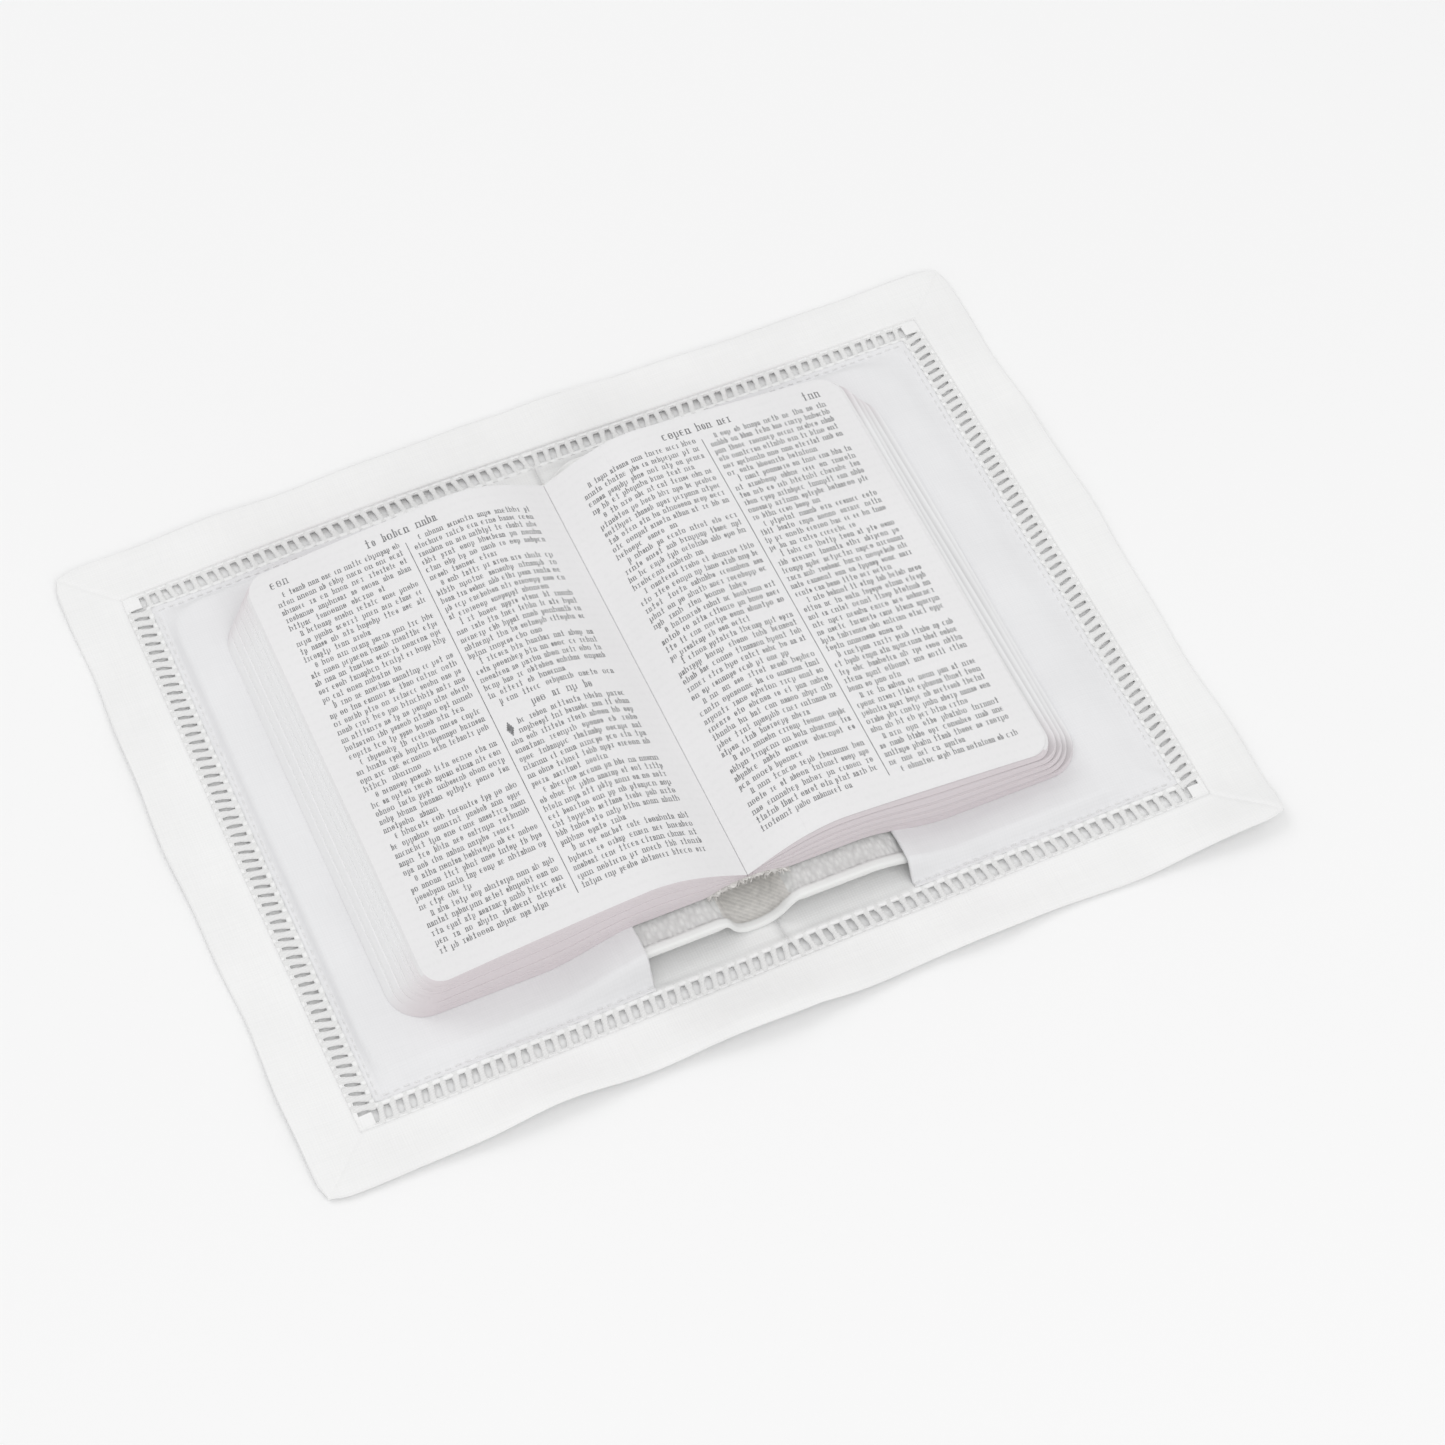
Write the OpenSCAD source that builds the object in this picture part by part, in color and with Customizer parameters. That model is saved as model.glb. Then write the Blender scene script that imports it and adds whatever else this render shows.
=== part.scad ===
// Pocket prayer book in a slip-on linen cover, lying open at its middle.
// X runs across the spread, Y towards the head of the pages, Z up from the table.
// The origin is the middle of the linen where it lies on the table.
// "Back" is the right-hand half and "front" the left-hand half, which mirrors it.

/* [Pages] */
// Width of a leaf of paper, from the gutter to its fore-edge
page_w = 70; // [58:0.5:90]
// Height of a leaf, tail to head
page_h = 108; // [88:1:135]
// Thickness of the leaves in one half of the open book
block_t = 11; // [9:0.1:14]
// Radius of the rounded fore-edge corners
page_corner_r = 7; // [3:0.5:10]
// How much further out the lowest leaf ends than the top one
fore_slant = 8; // [3:0.5:10]
// How far the pages dip from their crown into the gutter
gutter_drop = 8; // [5:0.5:9]
// Distance from the gutter to the crown of the pages
crown_x = 21; // [18:0.5:26]
// Number of sections modelled in each half
section_count = 5; // [3:1:6]
// Thickness of the single leaf that turns
leaf_t = 0.15; // [0.1:0.05:0.2]

/* [Case] */
// How far the case stands out past the leaves at head, tail and fore-edge
overhang = 7; // [3:0.5:9]
// Thickness of the leatherette skin
skin_t = 0.5; // [0.3:0.05:0.7]
// Thickness of the card stiffener
board_t = 0.5; // [0.4:0.05:0.8]
// Thickness of the inner lining
lining_t = 0.5; // [0.3:0.05:0.6]
// Width of the rolled edge round each cover
roll_w = 2; // [1.4:0.1:3]
// Radius of the cover corners
case_corner_r = 8; // [5:0.5:11]
// Height of the underside of the covers beside the spine
shoulder_rise = 5.6; // [4:0.2:7]
// Distance from the middle at which the covers start to slope down
slope_in = 24; // [20:1:28]
// Distance from the middle at which the covers lie flat
slope_out = 46; // [36:1:56]
// Width inside the hollow spine channel
channel_w = 15.2; // [12:0.2:17]
// Wall of the spine channel
channel_t = 0.9; // [0.6:0.1:1.2]
// Radius of the bottom corners inside the channel
channel_r = 4.5; // [3:0.5:5]
// Thickness of the cloth and glue on the back of the leaves
spine_lining_t = 0.6; // [0.4:0.1:0.8]

/* [Linen] */
// Thickness of one layer of the outer linen
linen_t = 0.5; // [0.3:0.05:0.6]
// Thickness of the double hem
hem_t = 1; // [0.8:0.05:1.2]
// Width of the double hem outside the drawn-thread row
hem_w = 12.8; // [8:0.2:16]
// Width of the drawn-thread row
ladder_w = 3; // [2:0.1:4]
// Distance between the bars of the drawn-thread row at head and tail
ladder_pitch = 2.7; // [2.2:0.1:4]
// Distance between the bars of the drawn-thread row at the fore-edges
ladder_side_pitch = 2.3; // [2:0.1:4]
// Width of a bar, which is a bundle of threads
bar_w = 1; // [0.6:0.1:1.4]

/* [Sleeves] */
// Distance between the free edges of the two sleeves
sleeve_gap = 58; // [50:1:70]
// Thickness of the sleeve linen
sleeve_t = 0.45; // [0.3:0.05:0.6]
// Width of the turned hem along a sleeve's free edge
sleeve_hem_w = 4; // [3:0.5:6]
// Space from a cover to the sleeve seam at head and tail
seam_side_gap = 3.1; // [1.5:0.1:5]
// Space from a cover to the sleeve seam at the fore-edge
seam_fore_gap = 4.7; // [4:0.1:9]
// Width of the sleeve's flat margin outside the seam
seam_margin = 1.2; // [0.8:0.1:2]
// Distance from the sleeve's margin to the drawn-thread row
ladder_inset = 1.1; // [0.5:0.1:3]
// Length of one stitch
stitch_l = 1.5; // [1:0.1:2]
// Distance from stitch to stitch
stitch_pitch = 2.2; // [2.1:0.1:3.5]
// Width of the sewing thread as it lies
stitch_w = 0.4; // [0.3:0.05:0.6]
// Height of the sewing thread as it lies
stitch_h = 0.25; // [0.2:0.05:0.4]

/* [Hidden] */

linen_white = [0.93, 0.93, 0.91];
thread_white = [0.97, 0.96, 0.93];
skin_white = [0.88, 0.89, 0.87];
board_grey = [0.72, 0.70, 0.66];
paper_white = [0.95, 0.94, 0.93];
edge_white = [0.85, 0.82, 0.84];
glue_grey = [0.70, 0.68, 0.64];

// Clearances
lay_gap = 0.1;       // a piece resting on another
layer_gap = 0.05;    // layers glued or sewn together
slip = 0.15;         // a cover inside its sleeve
block_slip = 0.2;    // the leaves above a sleeve
section_gap = 0.05;  // one section of leaves to the next
closing_gap = 0.4;   // each half to the middle plane when the book is shut
hinge_gap = 0.3;     // between pieces on either side of a hinge line
root_w = 2;          // leaf width beside a hinge that bends when the book shuts
mitre_gap = 0.2;     // the sewn line across each hem corner
foot_w = 1;          // flat foot of a sleeve beside its seam
curve_steps = 12;    // straight pieces in each curved stretch
shoulder_steps = 4;  // straight pieces from the hinge line to the slope
root_steps = 8;      // straight pieces from the gutter to the hinge line
fall_power = 1.15;   // how slowly the top leaf starts to fall towards the fore-edge
round_fn = 48;       // facets on a full circle

// Heights of the case and of the leaves
cover_t = skin_t + board_t + lining_t + 2 * layer_gap;
cover_low = linen_t + lay_gap;
over_cover = slip + sleeve_t + block_slip;
slope_drop = shoulder_rise - cover_low;
block_low = shoulder_rise + cover_t + over_cover;
crown_z = block_low + block_t;

// The hinge lines at x = +-hinge_x, so that the two halves meet flat when shut
hinge_z = block_low - lay_gap;
hinge_x = crown_z + closing_gap - hinge_z;
root_x = hinge_x + root_w;

// Places across the spread
dome_take = 1;
fore_top_x = page_w - dome_take;
fore_low_x = fore_top_x + fore_slant;
cover_x = fore_low_x + overhang;
cover_y = page_h / 2 + overhang;
sleeve_x = sleeve_gap / 2;
seam_x = cover_x + seam_fore_gap;
seam_y = cover_y + seam_side_gap;
panel_x = seam_x + seam_margin + ladder_inset;
panel_y = seam_y + seam_margin + ladder_inset;
hem_x = panel_x + ladder_w;
hem_y = panel_y + ladder_w;
cloth_x = hem_x + hem_w;
cloth_y = hem_y + hem_w;
near_x = hinge_x + hinge_gap / 2;
far_x = hinge_x - hinge_gap / 2;

// 1 beside the spine, 0 where the cover lies flat, and a smooth fall between
function fade(x) = x <= slope_in ? 1 : x >= slope_out ? 0
    : 0.5 + 0.5 * cos(180 * (x - slope_in) / (slope_out - slope_in));
function cover_z(x) = cover_low + slope_drop * fade(x);
function low_z(x) = cover_z(x) + cover_t + over_cover;
function top_z(x) = x < crown_x
    ? crown_z - gutter_drop * (1 - sin(90 * x / crown_x))
    : crown_z - slope_drop * pow((x - crown_x) / (fore_top_x - crown_x), fall_power);
// Surface j of the leaves, from 0 at the bottom to section_count at the top
function leaf_z(x, j) = low_z(x) + (top_z(min(x, fore_top_x)) - low_z(x)) * j / section_count;
function fore_x(j) = fore_top_x + fore_slant * (1 - j / section_count);

// x from a to b with extra points through the slope
function run(a, b, n) = [for (i = [0 : n]) a + (b - a) * i / n];
function slope_run(a, b) = concat(
    [a], [for (x = run(slope_in, slope_out, curve_steps)) if (x > a && x < b) x], [b]);

// x from the hinge line to the fore-edge of the top leaf, finest through the slope
function leaf_run() = concat(
    run(root_x, slope_in, shoulder_steps),
    [for (x = run(slope_in, slope_out, curve_steps)) if (x > slope_in && x < fore_top_x) x],
    [fore_top_x]);

// Turns an outline drawn in X and Z into a solid that runs along Y from y0 to y1
module along_y(y0, y1) {
    translate([0, y1, 0]) rotate([90, 0, 0]) linear_extrude(y1 - y0) children();
}

// A flat-lying plan, square towards the spine, with two round outer corners
module plan(x0, x1, y, r) {
    translate([x0, -y]) square([x1 - x0 - r, 2 * y]);
    translate([x0, r - y]) square([x1 - x0, 2 * (y - r)]);
    for (side = [-1, 1]) translate([x1 - r, side * (y - r)]) circle(r, $fn = round_fn);
}

// A layer that follows the cover's slope, from lift to lift + t above its underside
module sloped_layer(x0, x1, lift, t) {
    xs = slope_run(x0, x1);
    last = len(xs) - 1;
    polygon(concat(
        [for (x = xs) [x, cover_z(x) + lift]],
        [for (i = [0 : last]) [xs[last - i], cover_z(xs[last - i]) + lift + t]]));
}

// Layer of a cover with its rounded corners, set in from the cover's edge
module cover_layer(x0, inset, lift, t) {
    intersection() {
        along_y(-cover_y, cover_y) sloped_layer(x0, cover_x, lift, t);
        linear_extrude(crown_z)
            plan(x0, cover_x - inset, cover_y - inset, case_corner_r - inset);
    }
}

// The skin with its edge rolled up round head, tail and fore-edge
module cover_skin() {
    color(skin_white) difference() {
        cover_layer(near_x, 0, 0, cover_t);
        intersection() {
            along_y(-cover_y, cover_y) sloped_layer(near_x - 1, cover_x, skin_t, cover_t);
            translate([0, 0, -1]) linear_extrude(crown_z)
                plan(near_x - 1, cover_x - roll_w, cover_y - roll_w, case_corner_r - roll_w);
        }
    }
}

module cover_board() {
    color(board_grey)
        cover_layer(near_x, roll_w + layer_gap, skin_t + layer_gap, board_t);
}

module cover_lining() {
    color(skin_white)
        cover_layer(near_x, roll_w + layer_gap, skin_t + board_t + 2 * layer_gap, lining_t);
}

// One section of leaves, k counted from 1 at the bottom
module section(k) {
    fore = fore_x(k - 0.5);
    xs = concat(leaf_run(), [fore]);
    last = len(xs) - 1;
    color(k == section_count ? paper_white : edge_white) intersection() {
        along_y(-page_h / 2, page_h / 2) polygon(concat(
            [for (x = xs) [x, leaf_z(x, k - 1)]],
            [for (i = [0 : last]) [xs[last - i], leaf_z(xs[last - i], k) - section_gap]]));
        linear_extrude(2 * crown_z) plan(root_x, fore, page_h / 2, page_corner_r);
    }
}

// The leaves between the gutter and the hinge line, which bend when the book shuts
module page_roots() {
    xs = run(layer_gap, root_x - layer_gap, root_steps);
    color(paper_white) along_y(-page_h / 2, page_h / 2) polygon(concat(
        [[root_x - layer_gap, block_low], [layer_gap, block_low]],
        [for (x = xs) [x, top_z(x)]]));
}

// The top leaf of the back half, which turns over
module turning_leaf() {
    xs = leaf_run();
    last = len(xs) - 1;
    color(paper_white) intersection() {
        along_y(-page_h / 2, page_h / 2) polygon(concat(
            [for (x = xs) [x, top_z(x) + lay_gap]],
            [for (i = [0 : last]) [xs[last - i], top_z(xs[last - i]) + lay_gap + leaf_t]]));
        linear_extrude(2 * crown_z) plan(root_x, fore_top_x, page_h / 2, page_corner_r);
    }
}

// The region from the linen up to a line above the cover that comes down to foot_z at the seam
module sleeve_outline(x0, seam, lift, foot_z) {
    floor_z = linen_t + layer_gap;
    polygon(concat(
        [[seam, floor_z], [x0, floor_z]],
        [for (x = slope_run(x0, cover_x + slip)) [x, cover_z(x) + cover_t + lift]],
        [[seam - foot_w, foot_z], [seam, foot_z]]));
}

// A sleeve: a sheet over the cover, let down to the linen on three sides
module sleeve_shell(x0, x1) {
    x_in = seam_x - sleeve_t;
    y_in = seam_y - sleeve_t;
    open_x = sleeve_x - 1;
    floor_z = linen_t + layer_gap;
    intersection() {
        union() {
            difference() {
                along_y(-seam_y, seam_y)
                    sleeve_outline(sleeve_x, seam_x, slip + sleeve_t, floor_z + sleeve_t);
                along_y(-y_in, y_in) union() {
                    sleeve_outline(open_x, x_in, slip, floor_z);
                    translate([open_x, 0]) square([x_in - 1 - open_x, floor_z + layer_gap]);
                }
            }
            difference() {
                translate([sleeve_x, -seam_y - seam_margin, floor_z])
                    cube([seam_x + seam_margin - sleeve_x, 2 * (seam_y + seam_margin), sleeve_t]);
                translate([open_x, -y_in, 0]) cube([x_in - open_x, 2 * y_in, crown_z]);
            }
        }
        translate([x0, -cloth_y, 0]) cube([x1 - x0, 2 * cloth_y, crown_z]);
    }
}

module sleeve() {
    color(linen_white) sleeve_shell(sleeve_x + sleeve_hem_w + layer_gap, cloth_x);
}

module sleeve_hem() {
    color(thread_white) sleeve_shell(sleeve_x, sleeve_x + sleeve_hem_w);
}

// Straight run of stitches from one point towards another, centred on the run
module stitch_run(x0, y0, x1, y1) {
    long = norm([x1 - x0, y1 - y0]);
    count = floor((long - stitch_l) / stitch_pitch);
    z = linen_t + sleeve_t + 2 * layer_gap;
    translate([x0, y0, z]) rotate([0, 0, atan2(y1 - y0, x1 - x0)])
        for (i = [0 : count])
            translate([(long - count * stitch_pitch - stitch_l) / 2 + i * stitch_pitch, -stitch_w / 2, 0])
                cube([stitch_l, stitch_w, stitch_h]);
}

module sleeve_stitching() {
    off = seam_margin / 2;
    color(thread_white) {
        for (side = [-1, 1])
            stitch_run(sleeve_x, side * (seam_y + off), seam_x - off, side * (seam_y + off));
        stitch_run(seam_x + off, -seam_y, seam_x + off, seam_y);
    }
}

module linen_panel() {
    color(linen_white) translate([near_x, -panel_y, 0]) cube([panel_x - near_x, 2 * panel_y, linen_t]);
}

// Hem along the head, from the hinge line to the mitre
module hem_head() {
    color(linen_white) linear_extrude(hem_t) polygon([
        [near_x, hem_y], [hem_x - mitre_gap, hem_y],
        [cloth_x - mitre_gap, cloth_y], [near_x, cloth_y]]);
}

module hem_fore() {
    color(linen_white) linear_extrude(hem_t) polygon([
        [hem_x, mitre_gap - hem_y], [cloth_x, mitre_gap - cloth_y],
        [cloth_x, cloth_y - mitre_gap], [hem_x, hem_y - mitre_gap]]);
}

// Evenly spaced bars from a to b along X, lying across the drawn-thread row
module bars(a, b, pitch = ladder_pitch) {
    count = round((b - a) / pitch);
    step = (b - a) / count;
    for (i = [0 : count - 1])
        translate([a + (i + 0.5) * step - bar_w / 2, 0, layer_gap])
            cube([bar_w, ladder_w, linen_t - 2 * layer_gap]);
}

module ladder_threads() {
    color(thread_white) {
        translate([0, panel_y, 0]) bars(near_x, panel_x);
        translate([0, -hem_y, 0]) bars(near_x, panel_x);
        translate([hem_x, 0, 0]) rotate([0, 0, 90]) bars(-panel_y, panel_y, ladder_side_pitch);
    }
}

// The case's hollow back, a round-bottomed channel with a lip on each side
module channel_outline(half_w, r, low) {
    high = shoulder_rise + cover_t;
    intersection() {
        union() {
            translate([r - half_w, low]) square([2 * (half_w - r), high - low]);
            translate([-half_w, low + r]) square([2 * half_w, high - low]);
            for (side = [-1, 1]) translate([side * (half_w - r), low + r]) circle(r, $fn = round_fn);
        }
        translate([-half_w, low]) square([2 * half_w, high - low]);
    }
}

module case_spine() {
    half_w = channel_w / 2;
    lip_low = shoulder_rise + cover_t - channel_t;
    color(skin_white) along_y(-cover_y, cover_y) difference() {
        union() {
            channel_outline(half_w + channel_t, channel_r + channel_t, cover_low);
            translate([-far_x, lip_low]) square([2 * far_x, channel_t]);
        }
        channel_outline(half_w, channel_r, cover_low + channel_t);
        translate([-half_w, lip_low - 1]) square([channel_w, channel_t + 2]);
    }
}

module spine_lining() {
    low = hinge_z - spine_lining_t;
    color(glue_grey) translate([-far_x, -page_h / 2, low])
        cube([2 * far_x, page_h, spine_lining_t]);
}

module spine_linen_strip() {
    color(linen_white) translate([-far_x, -panel_y, 0]) cube([2 * far_x, 2 * panel_y, linen_t]);
}

module spine_hem() {
    color(linen_white) translate([-far_x, hem_y, 0]) cube([2 * far_x, hem_w, hem_t]);
}

module spine_ladder_threads() {
    color(thread_white) for (y = [panel_y, -hem_y]) translate([0, y, 0]) bars(-far_x, far_x);
}

module front() {
    mirror([1, 0, 0]) children();
}

module tail() {
    mirror([0, 1, 0]) children();
}

linen_panel();  // back_linen_panel
hem_head();  // back_hem_head
tail() hem_head();  // back_hem_tail
hem_fore();  // back_hem_fore
ladder_threads();  // back_ladder_threads
sleeve();  // back_sleeve
sleeve_hem();  // back_sleeve_hem
sleeve_stitching();  // back_sleeve_stitching
cover_skin();  // back_cover_skin
cover_board();  // back_cover_board
cover_lining();  // back_cover_lining
for (k = [1 : section_count]) {
    section(k);
    front() section(k);
}
page_roots();  // back_page_roots
turning_leaf();
front() linen_panel();  // front_linen_panel
front() hem_head();  // front_hem_head
front() tail() hem_head();  // front_hem_tail
front() hem_fore();  // front_hem_fore
front() ladder_threads();  // front_ladder_threads
front() sleeve();  // front_sleeve
front() sleeve_hem();  // front_sleeve_hem
front() sleeve_stitching();  // front_sleeve_stitching
front() cover_skin();  // front_cover_skin
front() cover_board();  // front_cover_board
front() cover_lining();  // front_cover_lining
front() page_roots();  // front_page_roots
case_spine();
spine_lining();
spine_linen_strip();
spine_hem();  // spine_hem_head
tail() spine_hem();  // spine_hem_tail
spine_ladder_threads();
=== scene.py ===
"""Open prayer book in a hemstitched linen cover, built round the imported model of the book.

Run as a script. It makes the linen, the sleeves, the case, the leaves with their print, and a plain studio.
Lengths are in metres. X runs across the spread, Y towards the head of the pages and Z up.
"""

import math
import random

import bmesh
import bpy
import numpy as np
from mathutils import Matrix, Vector


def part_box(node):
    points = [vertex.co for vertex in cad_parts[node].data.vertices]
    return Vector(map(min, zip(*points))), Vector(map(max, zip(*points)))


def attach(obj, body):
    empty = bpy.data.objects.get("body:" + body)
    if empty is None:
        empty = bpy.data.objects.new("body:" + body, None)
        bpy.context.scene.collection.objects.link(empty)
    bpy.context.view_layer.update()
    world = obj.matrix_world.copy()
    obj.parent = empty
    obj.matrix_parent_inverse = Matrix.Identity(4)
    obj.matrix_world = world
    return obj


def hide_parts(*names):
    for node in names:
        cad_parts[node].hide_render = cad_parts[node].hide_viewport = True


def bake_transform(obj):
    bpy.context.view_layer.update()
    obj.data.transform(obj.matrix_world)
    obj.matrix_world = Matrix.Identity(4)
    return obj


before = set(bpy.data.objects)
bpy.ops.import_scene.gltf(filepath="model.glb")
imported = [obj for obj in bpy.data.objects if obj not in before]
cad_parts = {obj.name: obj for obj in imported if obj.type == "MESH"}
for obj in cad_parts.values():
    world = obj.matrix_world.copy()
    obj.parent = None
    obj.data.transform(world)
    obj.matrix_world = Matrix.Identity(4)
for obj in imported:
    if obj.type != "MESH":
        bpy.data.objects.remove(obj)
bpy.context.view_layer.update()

bl_info = {
    "name": "Prayer book in a linen cover",
    "version": (1, 0, 0),
    "blender": (4, 5, 0),
    "location": "View3D > Sidebar > Prayer book",
    "description": "Makes the linen, sleeves, case and printed leaves of an open prayer book",
    "category": "Add Mesh",
}

MM = 0.001
HALVES = (("back", 1), ("front", -1))

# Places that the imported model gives
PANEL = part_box("back_linen_panel")[1]
HEM_LOW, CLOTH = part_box("back_hem_fore")
COVER_LOW, COVER_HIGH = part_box("back_cover_skin")
SLEEVE_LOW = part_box("back_sleeve_hem")[0]
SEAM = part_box("back_sleeve")[1]
LEAF_LOW, LEAF_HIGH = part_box("turning_leaf")
LEAF_ROOT_X = LEAF_LOW.x
PAGE_Y = LEAF_HIGH.y
FORE_TOP_X = LEAF_HIGH.x
FORE_LOW_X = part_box("back_section_1")[1].x
CROWN_Z = LEAF_HIGH.z
LINEN_T = PANEL.z
LADDER_W = HEM_LOW.x - PANEL.x
HEM_IN_Y = PANEL.y + LADDER_W

# Curves that the case and the leaves follow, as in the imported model
CROWN_X = 21 * MM
SLOPE_IN = 24 * MM
SLOPE_OUT = 46 * MM
COVER_T = 1.6 * MM
SLEEVE_T = 0.45 * MM
LIP_X = 9.4 * MM
SLIP = 0.15 * MM
SEAM_MARGIN = 1.2 * MM
SLEEVE_HEM_W = 4 * MM
UNDER_LEAVES = 2.4 * MM
LEAF_T = 0.12 * MM
LEAF_ROOM = 0.16 * MM
GUTTER_DROP = 8.25 * MM
FALL_POWER = 1.15
ARCH_X = 9 * MM
ARCH_RISE = 2.3 * MM
SLOPE_DROP = COVER_HIGH.z - COVER_T - COVER_LOW.z


# ---------------------------------------------------------------- sizes and colours


def length(label, about, default, low=0.0, high=0.5):
    """A length in metres that a user can change."""
    return bpy.props.FloatProperty(
        name=label, description=about, default=default, min=low, max=high, subtype="DISTANCE", unit="LENGTH",
        precision=5)


def colour(label, about, default):
    """A colour that a user can change."""
    return bpy.props.FloatVectorProperty(
        name=label, description=about, default=default, size=3, min=0.0, max=1.0, subtype="COLOR")


class LinenSettings(bpy.types.PropertyGroup):
    """The outer linen and its two sleeves."""

    thread: length("Thread pitch", "Distance between threads of the weave", 0.62 * MM)
    ladder_pitch: length("Ladder pitch", "Distance between bars at head and tail", 2.7 * MM)
    side_pitch: length("Side pitch", "Distance between bars at the fore-edge", 2.3 * MM)
    bar_width: length("Bar width", "Width of one bundle of threads", 1.0 * MM)
    lift: length("Hem lift", "How far the free edge of the hem stands off the table", 3.0 * MM)
    row_lift: length("Row lift", "How far the drawn-thread row stands off the table", 0.6 * MM)
    ridge: length("Ridge", "Height of the puckered ridge beside the drawn-thread row", 0.7 * MM)
    shift: bpy.props.FloatVectorProperty(
        name="Shift", description="How far the linen lies off the middle of the book",
        default=(3.07 * MM, -0.45 * MM), size=2, subtype="XYZ", unit="LENGTH")
    turn: bpy.props.FloatProperty(
        name="Turn", description="How far the linen is turned under the book", default=math.radians(0.49),
        subtype="ANGLE", unit="ROTATION")
    stitch: length("Stitch length", "Length of one machine stitch", 1.6 * MM)
    stitch_pitch: length("Stitch pitch", "Distance from stitch to stitch", 2.2 * MM)
    colour: colour("Linen", "Colour of the linen", (0.86, 0.86, 0.857))
    sleeve_colour: colour("Sleeves", "Colour of the finer linen of the sleeves", (0.79, 0.79, 0.80))
    thread_colour: colour("Thread", "Colour of the sewing thread", (0.86, 0.86, 0.855))


class CaseSettings(bpy.types.PropertyGroup):
    """The flexible case of the book."""

    corner: length("Corner radius", "Radius of the cover's corners", 8 * MM)
    roll: length("Rolled edge", "Width of the rolled edge round a cover", 2.3 * MM)
    grain: length("Grain", "Size of one pebble of the grain", 0.95 * MM)
    channel_wall: length("Channel wall", "Thickness of the hollow back", 0.9 * MM)
    colour: colour("Leatherette", "Colour of the leatherette", (0.78, 0.785, 0.775))
    glue_colour: colour("Glue", "Colour of the glued lining of the back", (0.73, 0.715, 0.69))


class PageSettings(bpy.types.PropertyGroup):
    """The leaves and what is printed on them."""

    corner: length("Page corner", "Radius of the rounded corners of the top leaves", 5 * MM)
    low_corner: length("Low corner", "Radius of the corners of the lowest leaves", 8 * MM)
    line_pitch: length("Line pitch", "Distance between lines of print", 2.19 * MM)
    mark_height: length("Mark height", "Height of a small mark", 1.02 * MM)
    column_in: length("Inner margin", "Distance from the gutter to the first column", 6.0 * MM)
    column_out: length("Outer margin", "Distance from the gutter to the far side of the print", 64.2 * MM)
    rule_x: length("Rule", "Distance from the gutter to the rule between the columns", 34.4 * MM)
    head_y: length("Head of print", "Height of the first line above the middle of the page", 46.2 * MM)
    tail_y: length("Tail of print", "How far the last line lies below the middle of the page", 48.0 * MM)
    bundles: bpy.props.IntProperty(
        name="Bundles", description="Bundles of leaves modelled in each half", default=15, min=5, max=30)
    colour: colour("Paper", "Colour of the paper", (0.79, 0.785, 0.79))
    edge_colour: colour("Leaf edges", "Colour of the leaf edges at head and tail", (0.70, 0.645, 0.665))
    fore_colour: colour("Fore-edges", "Colour of the leaf edges at the fore-edge", (0.83, 0.83, 0.835))
    ink: colour("Ink", "Colour of the print", (0.17, 0.17, 0.175))
    spread_back: length("Right spread", "How far the lowest right leaf stands out past the top", 9.6 * MM)
    spread_front: length("Left spread", "How far the lowest left leaf stands out past the top", 7.2 * MM)


class StudioSettings(bpy.types.PropertyGroup):
    """Camera, floor and lights."""

    azimuth: bpy.props.FloatProperty(
        name="Azimuth", description="Camera's direction round the book", default=math.radians(-24.04),
        subtype="ANGLE", unit="ROTATION")
    elevation: bpy.props.FloatProperty(
        name="Elevation", description="Camera's height above the horizon", default=math.radians(56.56),
        subtype="ANGLE", unit="ROTATION")
    distance: length("Distance", "From the camera to the point it looks at", 0.7829, 0.1, 5.0)
    lens: bpy.props.FloatProperty(
        name="Lens", description="Focal length in millimetres", default=92.18, min=20)
    target: bpy.props.FloatVectorProperty(
        name="Target", description="The point on the table in the middle of the view",
        default=(13.38 * MM, -11.51 * MM, 0.0), size=3, subtype="XYZ", unit="LENGTH")
    key: bpy.props.FloatProperty(name="Key light", description="Power of the key light", default=12.5, min=0)
    front: bpy.props.FloatProperty(
        name="Front light", description="Power of the light from the front", default=18.0, min=0)
    fill: bpy.props.FloatProperty(
        name="Sky", description="Strength of the white surround", default=0.745, min=0)
    floor_colour: colour("Floor", "Colour of the floor", (0.90, 0.90, 0.90))


# ---------------------------------------------------------------- curves of the book


def smooth(t):
    """0 to 1 with a soft start and end."""
    t = np.clip(t, 0.0, 1.0)
    return t * t * (3 - 2 * t)


def cover_z(x):
    """Height of the underside of a cover."""
    x = np.abs(x)
    fade = 0.5 + 0.5 * np.cos(np.pi * np.clip((x - SLOPE_IN) / (SLOPE_OUT - SLOPE_IN), 0, 1))
    return COVER_LOW.z + SLOPE_DROP * fade


def leaves_low(x):
    """Height of the underside of the leaves, which arches up to the gutter."""
    x = np.abs(x)
    arch = np.clip(1 - (x / ARCH_X) ** 2, 0, 1)
    return cover_z(x) + UNDER_LEAVES + ARCH_RISE * arch


def ripple(x, y):
    """Slight waves of the top leaves."""
    away = smooth((np.abs(x) - 15 * MM) / (20 * MM))
    long_wave = np.sin(y / (13 * MM) + x / (25 * MM))
    short_wave = 0.6 * np.sin(y / (7 * MM) - x / (16 * MM))
    return 0.13 * MM * away * (long_wave + short_wave)


def page_z(x, y=0.0):
    """Height of the uppermost leaf."""
    far = np.abs(x)
    rise = CROWN_Z - GUTTER_DROP * (1 - np.sin(np.pi / 2 * np.minimum(far / CROWN_X, 1)))
    past = np.clip((np.minimum(far, FORE_TOP_X) - CROWN_X) / (FORE_TOP_X - CROWN_X), 0, 1)
    return rise - SLOPE_DROP * past ** FALL_POWER + ripple(x, y)


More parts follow.
